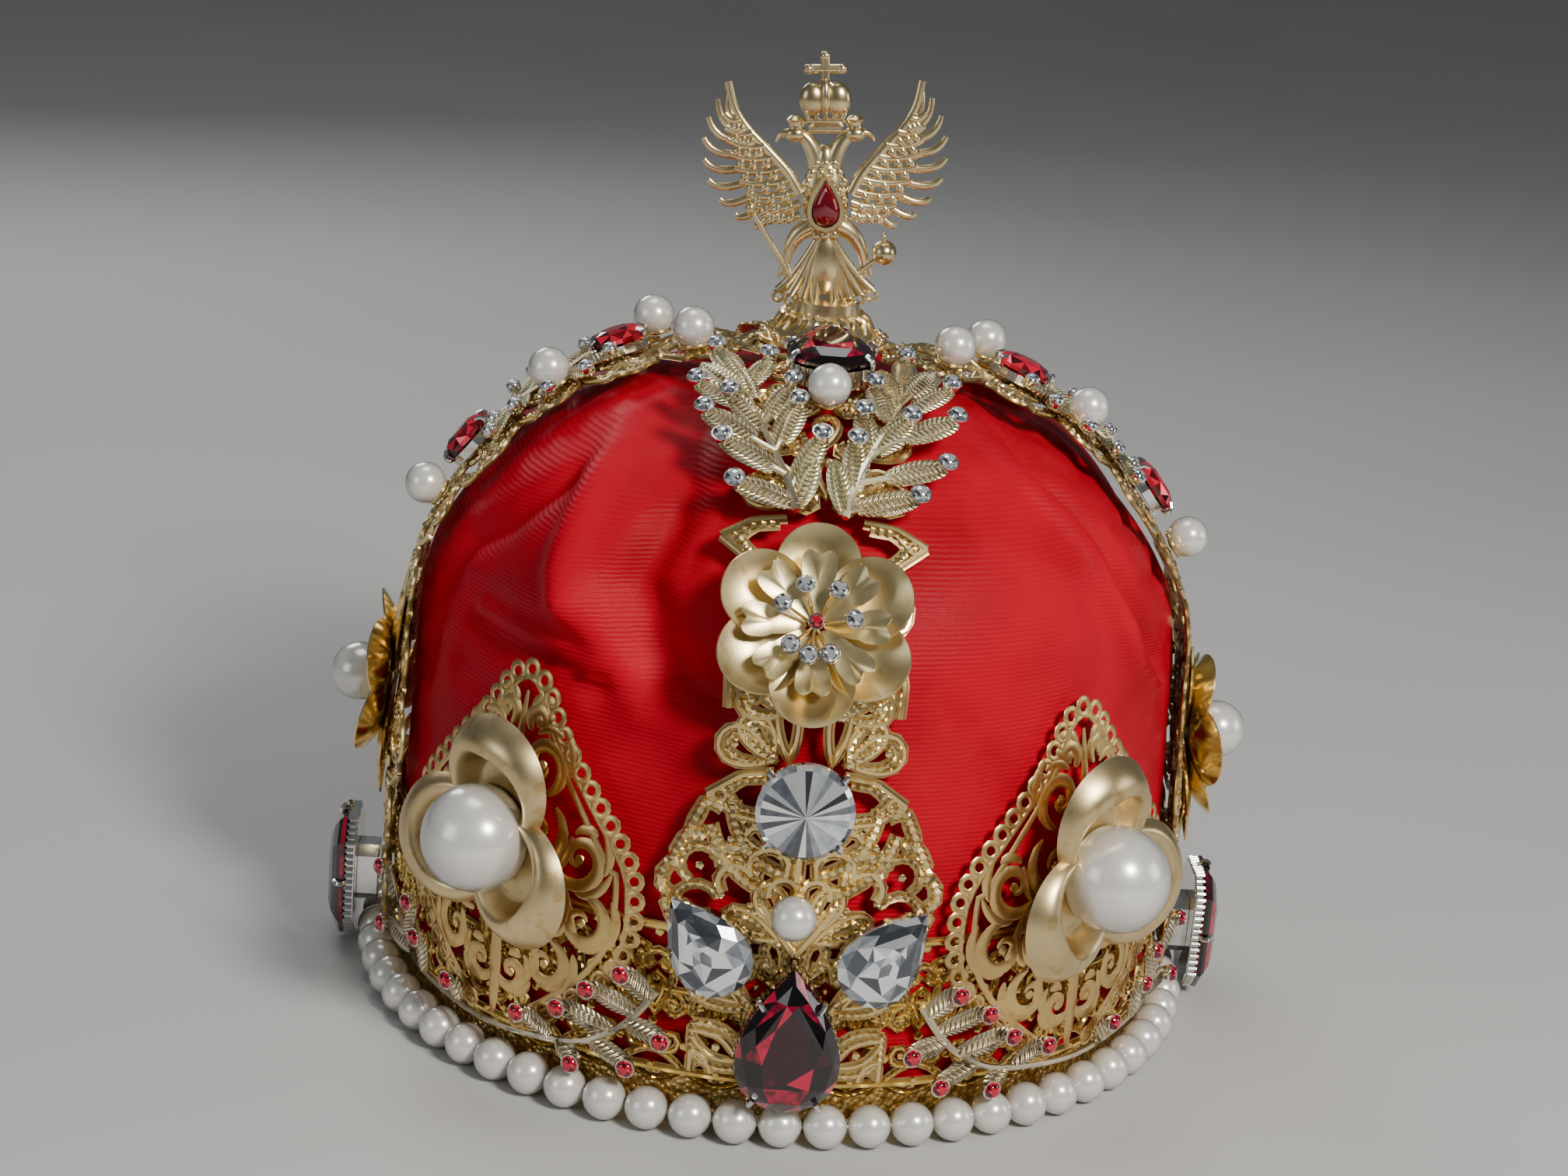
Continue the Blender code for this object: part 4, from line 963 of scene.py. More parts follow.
drop = pear_outline(23.3, 34.0)
claw_set("front_garnet", drop, drop_cut(23.3, 34.0, 3.6, 4.2), facing(0.0, 105.0, 28.3), -5.4, -1.4,
         [drop[k] for k in (4, 20, 10, 14)], 1.6)
drop = pear_outline(20.0, 23.0)
claw_set("top_garnet", drop, drop_cut(20.0, 23.0, 3.0, 3.4), on_arch(0.0, 0.5, 182.0, 7.4), -6.0, -1.2,
         [drop[k] for k in (3, 21, 6, 18, 9, 15)], 1.4)
eight = octagon_outline(22.0, 31.0, 5.0)
for name, azimuth, _ in SIDES:
    stone = hull_cut(eight, [(0.62, 3.5, 1, 0), (0.80, 2.6, 1, 0), (0.93, 1.4, 1, 0), (1.0, 0.5, 1, 0),
                             (1.0, -0.5, 1, 0), (0.6, -2.7, 1, 0)])
    claw_set("side_garnet_" + name, eight, stone, facing(azimuth, 108.3, 18.2), -8.5, -0.9,
             [(11.0, 0.0), (-11.0, 0.0), (0.0, 15.5), (0.0, -15.5)], 1.3, foot=-3.2)

# %% [markdown]
# ## Clear stones
# The round stone is cut to a point, with narrow facets that run from the tip to a thin rim. The two drops
# beside the pearl are ordinary fancy stones. All of them are foiled glass, glued into the filigree.

# %% Crystals
round_rows = [(1.0, -0.8, 1, 0), (1.0, 0.9, 1, 0), (0.90, 2.0, 1, 0), (0.02, 4.7, 2, 0),
              (0.7, -3.6, 2, 0), (0.55, -4.0, 2, 1)]
points_on_rim = [claw_at(10.8 * math.cos(a), 10.8 * math.sin(a), -1.4, 1.2, 0.5, 0.7)
                 for a in np.radians([45, 135, 225, 315])]
piece("round_crystal_stone", [(hull_cut(oval_outline(21.5, 21.5, 36), round_rows), "crystal"),
                              (wires_of(points_on_rim, resolution=2), "silver")], ["round_crystal"],
      at=on_arch(0.0, -0.6, 68.1, ON_METAL + 4.4), sharp=1.0)
for side, name in ((-1, "left"), (1, "right")):
    stone = drop_cut(18.0, 25.0, 3.0, 2.9, [(0.06, 3.42, 6, 3), (0.24, 3.32, 4, 2), (0.38, 3.16, 4, 0)])
    cup = tray(pear_outline(18.0, 25.0), -3.9, -0.6, 0.93)
    at = on_arch(0.0, side * 19.3, 36.0, ON_METAL + 4.0, side * -38.0)
    piece("drop_crystal_" + name, [(stone, "crystal"), (cup, "silver")], ["pear_crystal_" + name], at=at,
          sharp=1.0)

# %% Oval rubies
oval_rows = [(0.5, 2.6, 2, 0), (0.8, 2.0, 2, 1), (1.0, 0.5, 1, 0), (1.0, -0.5, 1, 0), (0.6, -2.0, 2, 0)]
outline = oval_outline(10.5, 14.0)
for name, azimuth, _ in SIDES:
    for number, along in ((1, 121.0), (2, 163.0)):
        claws = [claw_at(x, y, -1.6, 1.0, 0.7, 0.55) for x, y in outline[[1, 6, 9, 14]]]
        parts = [(hull_cut(outline, oval_rows), "ruby"), (tray(outline, -3.5, -1.0), "silver"),
                 (wires_of(claws, resolution=2), "silver")]
        piece(f"oval_ruby_{name}_{number}_set", parts, [f"oval_ruby_{name}_{number}"],
              at=on_arch(azimuth, 0.0, along, 4.6), sharp=1.0)

# %% [markdown]
# ## Loose pearls
# The small pearls sit in wire rings. A ring under each keeps it from looking as if it floats.

# %% Small pearls
SIDE_PEARLS = [(7.0, 108.0), (8.5, 147.0), (9.0, 180.5), (-11.0, 171.0)]


def seated_pearl(name, node, at, radius=5.0):
    ring = arc(0, 0, radius * 0.62, 0, 345)
    ring = wires_of([plain(np.column_stack([ring, np.full(len(ring), -radius * 0.80)]), 0.5, True)])
    piece(name, [(ball(radius, 28, 18), "pearl"), (ring, "champagne")], [node], at=at, sharp=80)


seated_pearl("low_front_pearl", "front_pearl_low", on_arch(0.0, -1.2, 44.0, ON_METAL + 5.0))
seated_pearl("top_front_pearl", "front_pearl_top", on_arch(0.0, 0.0, 166.5, ON_METAL + 5.0))
for name, azimuth, front in SIDES:
    for number, (across, along) in enumerate(SIDE_PEARLS):
        seated_pearl(f"arch_pearl_{name}_{number + 1}", f"side_pearl_{name}_{number + 1}",
                     on_arch(azimuth, front * across, along, ON_METAL + 5.0))
    seated_pearl("flower_pearl_" + name, "side_flower_pearl_" + name,
                 on_arch(azimuth, 0.0, 57.5, ON_METAL + 0.9 + 0.8 + 0.3 + 7.25), 7.25)

# %% [markdown]
# ## Petals
# Roses and blossoms are made of the same thing: a round blank of sheet, cut to an outline and pressed in a die.
# A grid is bent into a disc, one function gives the edge, another the height at every point, and a wall is
# added. The roses have deep petals with a broad rolled brim. The blossom has shallow bowls and small hearts.

# %% One petal
def petal(centre, radius, height, outline=None, base=0.0, wall=0.6, columns=40, rows=12):
    """Disc of sheet whose middle lies at centre along +Y. height and outline take the angle round it."""
    bm = bmesh.new()
    bmesh.ops.create_grid(bm, x_segments=columns, y_segments=rows, size=0.5)
    for vertex in bm.verts:
        angle, share = 2 * math.pi * (vertex.co.x + 0.5), vertex.co.y + 0.5
        x, y = outline(angle) if outline else (math.cos(angle), math.sin(angle))
        vertex.co = (radius * share * x, centre + radius * share * y, base + height(angle, share))
    return walled(bm, wall)


def round_about(make, count, start):
    """The same petal turned to each of its places."""
    return [moved(make(number), Matrix.Rotation(math.radians(start + 360.0 * number / count), 4, "Z"))
            for number in range(count)]


def outward(angle):
    return 0.5 + 0.5 * math.sin(angle)


# %% Roses
ROSE_RADIUS_AT, ROSE_HEIGHT = 106.3, 60.2


def rolled(angle, share):
    """Steep hollow, then a brim that is broad on the outer side and falls away to its edge."""
    ridge = 0.90 - 0.44 * outward(angle) ** 1.3
    top = 1.4 + 6.6 * outward(angle) ** 0.8
    if share < ridge:
        climb = max(0.0, (share / ridge - 0.58) / 0.42)
        return top * climb ** 2 * (3 - 2 * climb)
    fall = (share - ridge) / (1 - ridge)
    return top * (1 - 0.66 * fall ** 2.2) + 0.35 * math.sin(math.pi * min(1.0, fall))


def rose_petal(number):
    return petal(13.4, 15.2, rolled, base=0.3 + 0.25 * number, wall=0.8, columns=64, rows=24)


for corner, azimuth in CORNERS.items():
    mirror = Matrix.Diagonal((1.0 if math.sin(math.radians(azimuth)) < 0 else -1.0, 1.0, 1.0, 1.0))
    parts = [(moved(bm, mirror), "rolled") for bm in round_about(rose_petal, 3, -8.0)]
    for bm, _ in parts:
        bmesh.ops.recalc_face_normals(bm, faces=bm.faces)
    rivets = [(11.8 * math.cos(a), 11.8 * math.sin(a), 1.5) for a in np.radians([22, 142, 262])]
    parts.append((bosses(rivets, 1.0), "shiny"))
    piece("rose_" + corner, parts, ["rose_petals_" + corner],
          at=facing(azimuth, ROSE_RADIUS_AT - 6.5, ROSE_HEIGHT), sharp=60)
    pearl = ball(12.25, 48, 32)
    flat = bmesh.ops.bisect_plane(pearl, geom=pearl.verts[:] + pearl.edges[:] + pearl.faces[:],
                                  plane_co=(0, 0, -5.6), plane_no=(0, 0, -1), clear_outer=True)["geom_cut"]
    bmesh.ops.edgeloop_fill(pearl, edges=[item for item in flat if isinstance(item, bmesh.types.BMEdge)])
    piece("big_pearl_" + corner, [(pearl, "pearl")], ["rose_pearl_" + corner],
          at=facing(azimuth, ROSE_RADIUS_AT, ROSE_HEIGHT))

# %% Blossom of the front arch
def bowl(angle, share):
    return 2.9 * share ** 2 * (0.35 + 0.65 * outward(angle)) + 0.5 * outward(angle) * share


def outer_petal(number):
    return petal(13.2, 9.4, bowl, base=0.1 + 0.3 * (number % 2), wall=0.5, columns=40, rows=10)


def heart(angle):
    """Narrow root, two round shoulders and a cleft between them."""
    y = math.sin(angle)
    cleft = 1.0 - 0.20 * math.exp(-((angle - math.pi / 2) / 0.17) ** 2)
    shoulder = 0.40 + 0.22 * max(0.0, y) ** 0.5 + 0.06 * y
    return shoulder * math.cos(angle) * (1.0 + 0.5 * max(0.0, y) ** 3), y * cleft


def cupped(angle, share):
    return (1.6 * (1 + share * math.sin(angle)) + 0.45 * (share * math.cos(angle)) ** 2
            + 0.7 * max(0.0, share * math.sin(angle)) ** 3)


def inner_petal(number):
    return petal(9.2, 7.3, cupped, heart, base=1.7 + 0.35 * (number % 2), wall=0.45, columns=48, rows=8)


blossom_at = on_arch(0.0, -1.3, 106.5, ON_METAL + 0.4)
for name, make, count, node in (("big", outer_petal, 6, "outer"), ("small", inner_petal, 8, "inner")):
    piece(f"blossom_{name}_petals", [(bm, "satin") for bm in round_about(make, count, 0.0)],
          [f"blossom_{node}_petals"], at=blossom_at, sharp=60)


def set_stone(radius, at, gem):
    """Small round stone in a silver cup: the two parts, placed."""
    cup = bmesh.new()
    bmesh.ops.create_cone(cup, cap_ends=True, segments=12, radius1=radius * 0.7, radius2=radius * 1.18,
                          depth=radius * 1.1)
    bevelled(cup, cup.edges[:], radius * 0.1)
    stone = hull_cut(oval_outline(2 * radius, 2 * radius, 16),
                     [(0.5, radius * 0.62, 2, 0), (0.8, radius * 0.42, 2, 1), (0.98, 0.0, 1, 0)])
    return [(moved(cup, at), "silver"), (moved(stone, at @ Matrix.Translation((0, 0, radius * 0.5))), gem)]


STAMEN_ANGLES = (3.6, 57.8, 110.8, 157.8, 228.0, 260.0, 293.0)
stamens, crystals = [], []
for a in np.radians(STAMEN_ANGLES):
    tip = Vector((7.7 * math.cos(a), 7.7 * math.sin(a), 7.9))
    route = [(0.0, 0.0, 2.4), tuple(tip * 0.45 + Vector((0, 0, 1.2))), tuple(tip * 0.98)]
    stamens.append((smooth_line(route, 6), 0.42, False))
    outside = Vector((math.cos(a) * 0.35, math.sin(a) * 0.35, 1.0))
    lean = Vector((0, 0, 1)).rotation_difference(outside).to_matrix().to_4x4()
    crystals += set_stone(1.95, Matrix.Translation(tip) @ lean, "crystal")
parts = [(wires_of(stamens), "champagne"), *set_stone(1.7, Matrix.Translation((0, 0, 5.6)), "ruby"), *crystals]
piece("blossom_stamens_and_crystals", parts, ["blossom_stamens"], at=blossom_at, sharp=20)

# %% [markdown]
# ## Leaves
# Every leaf here is cast with a raised rib down its middle and slanting veins. A grid is narrowed to a leaf,
# and its slanting barbs are a bump that follows a count kept at its points.

# %% A veined leaf
def veined_leaf(length, width, camber=0.8, tip_curl=0.0, rib=0.8):
    """Oval leaf with a short point, from its stalk at the origin along +Y, facing +Z. Its midrib stands up
    between two grooves, and the barbs slant from it toward the tip."""
    bm = bmesh.new()
    bmesh.ops.create_grid(bm, x_segments=10, y_segments=18, size=0.5)
    barb = bm.verts.layers.float.new("barb")
    barbs = round(length / 1.3)
    for vertex in bm.verts:
        u, v = 2 * vertex.co.x, vertex.co.y + 0.5
        half = 0.14 + 0.86 * math.sin(math.pi * min(1.0, 0.06 + v * 0.92)) ** 0.5
        half *= width / 2 * (1 - v ** 14)
        height = camber * math.sin(math.pi * v) * (1 - 0.8 * u * u)
        height += rib * max(0.0, 1 - (3.4 * u) ** 2) - 0.44 * rib * math.exp(-((abs(u) - 0.38) / 0.12) ** 2)
        vertex.co = (u * half, v * length, height * (1 - v ** 6) + tip_curl * v ** 3)
        vertex[barb] = 2 * math.pi * (barbs * v - 2.0 * abs(u))
    return walled(bm, 0.5)


LONGEST_LEAF = 14.0


def leaf_place(root, tip):
    """Placing of a leaf from its root toward a tip, whose own placing says which way the leaf faces."""
    reach = tip.translation - root
    y_axis = reach.normalized()
    x_axis = y_axis.cross(tip.col[2].to_3d()).normalized()
    at = Matrix((x_axis, y_axis, x_axis.cross(y_axis))).transposed().to_4x4()
    at.translation = root
    return at, reach.length


def spray_parts(stem, leaves, place, width, metal, gem_radius, gem):
    """Stem and leaves; a small stone lies near the tip of each leaf whose row doesn't end in a False.
    place(x, y, lift) gives a placing on the crown."""
    line = [place(*row, 0.0).translation for row in stem]
    fine = smooth_line(line, 6)
    parts = [(wires_of([(fine, np.linspace(0.95, 0.6, len(fine)), False)]), metal)]
    for number, (x, y, along, *bare) in enumerate(leaves):
        whole = min(int(along), len(line) - 2)
        root = line[whole].lerp(line[whole + 1], along - whole)
        root += (place(*stem[whole], 1.0).translation - line[whole]) * (0.25 * (number % 3))
        tip = place(x, y, 0.5)
        at, reach = leaf_place(root, tip)
        stalk = max(0.0, reach - LONGEST_LEAF)
        if stalk:
            parts.append((moved(wires_of([plain([(0, 0, 0), (0, stalk + 2.0, 0)], 0.6)]), at), metal))
        leaf = veined_leaf(reach - stalk + 1.6, width * (0.92 + 0.06 * (number % 3)))
        parts.append((moved(leaf, at @ Matrix.Translation((0, stalk, 0))), metal))
        if not bare:
            parts += set_stone(gem_radius, tip @ Matrix.Translation((0, 0, 1.1)), gem)
    return parts


# %% Sprays of the front arch
LEFT_STEM = [(-6.5, 132.5), (-9.0, 141.0), (-13.0, 151.0), (-16.5, 161.0), (-18.5, 170.0)]
LEFT_LEAVES = [(-19.8, 137.7, 0.2), (-22.9, 148.8, 1.0), (-27.0, 157.3, 1.6), (-21.6, 164.1, 2.3),
               (-28.9, 167.3, 2.8), (-24.7, 186.2, 4.0), (-13.0, 183.6, 3.8), (-7.8, 170.8, 2.4),
               (-6.5, 163.0, 1.6), (-1.4, 152.0, 0.6), (-20.5, 177.0, 3.3, False), (-27.6, 177.0, 3.4, False),
               (-3.2, 144.0, 0.1, False)]
RIGHT_STEM = [(4.0, 131.5), (6.5, 141.0), (10.5, 151.0), (14.5, 161.0), (17.0, 170.0)]
RIGHT_LEAVES = [(19.7, 136.8, 0.2), (25.6, 145.2, 0.9), (28.1, 159.8, 1.8), (27.5, 172.9, 2.8),
                (18.0, 188.4, 4.0), (10.4, 172.0, 2.8), (7.7, 160.9, 1.6), (6.2, 151.3, 0.7),
                (18.0, 159.6, 1.6), (1.6, 144.5, 0.1, False), (12.6, 181.0, 3.4, False),
                (24.4, 181.5, 3.5, False)]
for name, stem, leaves in (("left", LEFT_STEM, LEFT_LEAVES), ("right", RIGHT_STEM, RIGHT_LEAVES)):
    parts = spray_parts(stem, leaves, lambda x, s, lift: on_arch(0.0, x, s, 2.3 + lift), 6.4, "leaf", 2.2,
                        "crystal")
    piece("leaf_branch_" + name, parts, ["leaf_spray_" + name], sharp=50)

# %% Flowers and sprays of the side arches
SIDE_STEM = [(-2.0, 131.0), (-1.0, 139.0), (1.0, 147.0), (1.5, 154.5)]
SIDE_LEAVES = [(-13.0, 134.0, 0.3), (-16.0, 145.0, 1.1), (-11.5, 154.0, 1.9), (8.5, 130.5, 0.2),
               (12.0, 136.5, 0.7), (14.5, 155.0, 2.2), (-8.0, 160.0, 2.8), (6.0, 161.0, 2.8),
               (-15.0, 139.5, 0.7), (16.0, 145.5, 1.5), (15.5, 129.0, 0.4)]
# Angle and length.
SIDE_FLOWER_LEAVES = [(0, 33), (28, 30), (-28, 30), (152, 28), (-152, 28), (180, 31), (12, 26), (-14, 27),
                      (166, 25)]


def side_bowl(angle, share):
    return 4.8 * share ** 2 * outward(angle) + 0.8 * share * outward(angle)


def side_petal(number):
    return petal(11.5, 9.8, side_bowl, base=0.2 + 0.3 * (number % 2), wall=0.5, columns=32, rows=8)


def side_small_petal(_):
    return petal(7.4, 6.4, cupped, heart, base=0.8, wall=0.45, columns=32, rows=6)


for name, azimuth, front in SIDES:
    parts = [(bm, "smooth") for bm in round_about(side_petal, 5, 20.0)]
    parts += [(bm, "smooth") for bm in round_about(side_small_petal, 6, 56.0)]
    for angle, length in SIDE_FLOWER_LEAVES:
        turn = Matrix.Translation((0, 0, -0.4)) @ Matrix.Rotation(math.radians(angle), 4, "Z")
        parts.append((moved(veined_leaf(length, 8.4, 1.5, 0.0, 0.35), turn), "smooth"))
    flower_at = on_arch(azimuth, 0.0, 57.5, ON_METAL + 0.9)
    for a in np.radians(np.arange(0, 360, 30)):
        parts += set_stone(0.95, Matrix.Translation((7.4 * math.cos(a), 7.4 * math.sin(a), 2.6)), "crystal")
    piece("layered_flower_" + name, parts, ["side_flower_" + name], at=flower_at, sharp=55)
    parts = spray_parts(SIDE_STEM, SIDE_LEAVES,
                        lambda x, s, lift: on_arch(azimuth, front * x, s, 1.8 + lift), 6.2, "leaf", 1.9,
                        "crystal")
    piece("side_branch_" + name, parts, ["side_spray_" + name], sharp=50)

# %% Garlands on the front plates
SPRIG_STEM = [(17.0, 34.0), (19.5, 27.5), (23.0, 21.5), (29.0, 16.5), (42.5, 14.2), (56.0, 16.5),
              (62.0, 21.5), (66.5, 28.0)]
SPRIG_LEAVES = [(26.0, 31.5, 1.0), (15.8, 23.0, 1.4), (30.0, 25.0, 1.9), (20.0, 15.0, 2.5),
                (57.0, 25.0, 5.0), (68.5, 20.0, 5.6), (59.5, 32.0, 6.0), (70.0, 33.5, 6.8),
                (21.5, 37.0, 0.3), (36.0, 20.5, 3.2), (27.5, 12.6, 3.1), (49.0, 20.0, 4.4)]
for name, side in (("left", -1), ("right", 1)):
    parts = spray_parts(SPRIG_STEM, SPRIG_LEAVES,
                        lambda turn, height, lift: facing(side * turn, 100.2 + lift, height), 5.4, "stained_groove_shaded",
                        2.1, "ruby")
    piece("ruby_garland_" + name, parts, ["rim_sprig_" + name], sharp=50)

# %% [markdown]
# ## The eagle
# The finial is cast: a two-headed heraldic bird in one plane, with separate curved feathers, a round stone
# setting on its breast, a crown over both heads with a small cross, and a round foot. The feathers are
# tapered wires pressed flat, in three ranks from the shoulder to the tips.

# %% Wings
EAGLE_LEAN, EAGLE_BASE = 4.7, 168.6
stand = Matrix.Translation((0, 0, EAGLE_BASE)) @ Matrix.Rotation(math.radians(-EAGLE_LEAN), 4, "Y")
upright = stand @ Matrix.Rotation(math.radians(90), 4, "X")
FEATHER_TIPS = [(22.2, 54.0), (25.0, 50.6), (27.2, 46.4), (28.4, 41.6), (28.4, 36.6), (27.4, 31.8),
                (24.8, 27.2), (21.2, 23.6), (16.6, 21.4)]


def bend(start, through, end, z0, z1, steps=12):
    """Curved line from start to end, drawn toward a point between."""
    t = np.linspace(0, 1, steps)[:, None]
    flat = (1 - t) ** 2 * np.array(start) + 2 * t * (1 - t) * np.array(through) + t ** 2 * np.array(end)
    return np.column_stack([flat, np.linspace(z0, z1, steps)])


INNER_LINE = [(6.0, 22.5), (6.0, 27.0), (7.6, 32.0), (11.2, 36.4), (15.0, 40.6), (20.0, 46.2)]
MIDDLE_LINE = [(12.0, 22.5), (15.5, 26.0), (18.6, 31.0), (20.6, 36.5), (21.4, 42.0), (21.8, 47.0)]
TOP_FEATHER = [(6.0, 28.5), (8.8, 33.4), (13.4, 38.6), (18.2, 43.8), (21.2, 48.8), (22.6, 54.6)]


def on_line(rows, share):
    rows = np.array(rows)
    return np.array([np.interp(share * (len(rows) - 1), range(len(rows)), rows[:, k]) for k in (0, 1)])


def wing():
    """Long feathers with turned-up tips, short ones above them, rows of down and the arm along the top."""
    feathers = []
    for number, tip in enumerate(FEATHER_TIPS):
        share = 1 - number / (len(FEATHER_TIPS) - 0.6)
        start, end = on_line(MIDDLE_LINE, share), np.array(tip)
        line = bend(start, start * 0.36 + end * 0.64 + (1.0, -2.9), end, 0.3, 0.0)
        t = np.linspace(0, 1, len(line))
        feathers.append((line, 0.98 - 0.30 * t ** 2, False))
        inner = on_line(INNER_LINE, share)
        line = bend(inner, (inner + start) / 2 + (0.6, -1.8), start + (1.6, 0.2), 1.0, 0.7)
        feathers.append((line, 1.25 - 0.30 * t, False))
    for row, lift in ((0.22, 1.7), (0.55, 1.5), (0.86, 1.2)):
        for share in np.linspace(0.06, 0.94, 9):
            start = on_line(INNER_LINE, share) * (1 - row) + on_line(MIDDLE_LINE, share) * row
            line = bend(start, start + (0.5, -1.4), start + (1.5, -2.4), lift, lift * 0.8, 5)
            feathers.append((line, np.array([0.4, 0.85, 0.95, 0.80, 0.3]), False))
    arm = np.column_stack([smooth_line(TOP_FEATHER, 4), np.linspace(1.4, 0.3, 21)])
    return feathers + [(arm, np.linspace(1.35, 0.95, 21), False)]


# %% Body, heads and regalia
def turned(rows, segments=24):
    """Solid of revolution from (radius, height) rows, by a full spin round Z."""
    bm = bmesh.new()
    verts = [bm.verts.new((radius, 0, height)) for radius, height in rows]
    edges = [bm.edges.new(pair) for pair in zip(verts[:-1], verts[1:])]
    bmesh.ops.spin(bm, geom=verts + edges, axis=(0, 0, 1), cent=(0, 0, 0), angle=2 * math.pi, steps=segments,
                   use_merge=True)
    bmesh.ops.remove_doubles(bm, verts=bm.verts, dist=1e-3)
    bmesh.ops.recalc_face_normals(bm, faces=bm.faces)
    return bm


def ellipsoid(x, y, z, size, segments=24, rings=16):
    return moved(ball(1.0, segments, rings), Matrix.Translation((x, y, z)) @ Matrix.Diagonal((*size, 1.0)))


def half_bird():
    """Lines of the wing, neck, beak, crest, leg, claws and tail on one side."""
    rows = [((1.6, 33.0), (2.0, 40.0), (6.2, 42.6), 0.3, 0.5, 10, 2.3, 1.5),
            ((8.6, 42.6), (11.0, 42.8), (11.5, 40.6), 0.5, 0.5, 8, 1.1, 0.25),
            ((3.6, 20.5), (8.6, 18.5), (9.4, 11.5), 0.6, 0.8, 8, 2.4, 1.0)]
    rows += [((7.4 - k * 1.7, 44.0), (7.0 - k * 1.9, 45.4), (6.0 - k * 2.0, 45.6 - k * 0.3), 0.4, 0.2, 5, 0.5,
              0.5) for k in range(3)]
    rows += [((9.2, 11.8), (9.6 + k * 1.6, 9.4), (8.6 + k * 2.6, 8.2), 0.9, 1.3, 6, 0.8, 0.3)
             for k in (-0.5, 0.2, 0.9)]
    rows += [((1.0, 19.0), (2.0 + 1.5 * k, 9.0), (2.4 + 2.9 * k, 2.6 + 0.9 * k), 0.9, 0.5, 9, 0.9, 1.25)
             for k in range(4)]
    return wing() + [(bend(start, through, end, z0, z1, steps), np.linspace(thick, thin, steps), False)
                     for start, through, end, z0, z1, steps, thick, thin in rows]


bird = [ellipsoid(0, 27.0, 0, (5.5, 10.4, 2.9)), ellipsoid(0, 36.0, 0, (2.4, 4.0, 2.0))]
for row in range(9):
    for place in range(-2, 3):
        x, y = 2.1 * place + 1.05 * (row % 2), 18.6 + 2.1 * row
        under = 1 - (x / 5.5) ** 2 - ((y - 27.0) / 10.4) ** 2
        if under > 0.08 and not (abs(x) < 2.9 and 22.0 < y < 31.5):
            bird.append(ellipsoid(x, y, 2.9 * math.sqrt(under), (1.1, 1.35, 0.55), 8, 6))
lines = []
for side in (-1, 1):
    lines += [(points * (side, 1, 1), radii, closed) for points, radii, closed in half_bird()]
    lines += [(arc(side * (2.4 + 2.9 * k), 1.3 + 0.9 * k, 1.2, 0, 300), 0.5, True) for k in range(4)]
    bird.append(ellipsoid(side * 7.0, 42.4, 0.5, (2.5, 1.9, 1.7), 16, 10))
    bird.append(moved(turned([(0.0, 0.0), (1.7, 0.0), (1.5, 1.0), (2.1, 2.0), (1.2, 2.9), (0.0, 3.1)], 12),
                      Matrix.Translation((side * 7.0, 43.8, 0.4)) @ Matrix.Rotation(math.radians(-90), 4, "X")))
# Sceptre and the rod of the orb, the bars of the large crown, and the cross: ends, then the radius.
RODS = [((-8.2, 8.6, 1.4), (-17.4, 24.6, 0.8), 0.62), ((8.4, 10.2, 1.4), (12.4, 12.9, 0.9), 0.7),
        ((-3.9, 43.4, 0.0), (3.9, 43.4, 0.0), 1.0), ((-4.2, 45.4, 0.0), (4.2, 45.4, 0.0), 0.9),
        ((-1.2, 54.0, 0.0), (1.2, 54.0, 0.0), 0.9), ((-3.8, 57.4, 0.0), (3.8, 57.4, 0.0), 1.1),
        ((0.0, 53.5, 0.0), (0.0, 60.8, 0.0), (1.0, 1.15))]
lines += [(np.array([start, end]), thick, False) for start, end, thick in RODS]
lines += [(bend((x * 0.9, 45.8), (x * 1.5, 50.5), (x * 0.2, 54.2), 1.0, 0.9, 9), 0.55, False)
          for x in (-4.4, -2.2, 0.0, 2.2, 4.4)]
# Knobs, orb and its cross, the large crown in three lobes, the tail's root, and the ends of the cross.
ROUND_PARTS = [(-17.6, 25.0, 0.8, (1.3, 1.7, 1.3), 12, 8), (14.0, 14.3, 0.8, (3.0, 3.0, 3.0), 16, 10),
               (14.0, 17.8, 0.8, (0.6, 1.3, 0.6), 8, 6), (-2.9, 50.4, 0, (3.2, 4.0, 2.2)),
               (2.9, 50.4, 0, (3.2, 4.0, 2.2)), (0, 51.2, 0.3, (1.6, 4.4, 2.4)), (0, 12.0, 0, (3.6, 8.0, 1.9)),
               (-3.9, 57.4, 0, (1.25, 1.25, 1.1), 10, 8), (3.9, 57.4, 0, (1.25, 1.25, 1.1), 10, 8),
               (0.0, 60.4, 0, (1.25, 1.25, 1.1), 10, 8)]
bird += [ellipsoid(*row) for row in ROUND_PARTS]
parts = [(moved(wires_of(lines, 0.72, resolution=2), upright), "eagle")]
parts += [(moved(bm, upright), "eagle") for bm in bird]

# %% Foot of the eagle
foot_rows = [(0.0, 161.5), (15.4, 161.5), (15.5, 162.6), (14.0, 163.4), (12.6, 163.2), (11.6, 165.4),
             (9.8, 167.4), (9.9, 168.2), (8.4, 169.0), (8.2, 171.6), (0.0, 172.0)]
parts.append((turned(foot_rows, 48), "eagle"))
for a in 2 * math.pi * np.arange(20) / 20:
    knob = ellipsoid(14.2 * math.cos(a), 14.2 * math.sin(a), 163.6, (1.15, 1.15, 1.0), 10, 8)
    curl = [(out * math.cos(a + turn), out * math.sin(a + turn), height)
            for out, turn, height in ((11.9, 0.0, 165.0), (10.6, 0.1, 167.6), (9.2, 0.0, 168.8))]
    parts += [(knob, "eagle"), (wires_of([(smooth_line(curl, 4), 0.6, False)]), "eagle")]
piece("double_headed_eagle", parts, ["eagle_finial"], sharp=50)
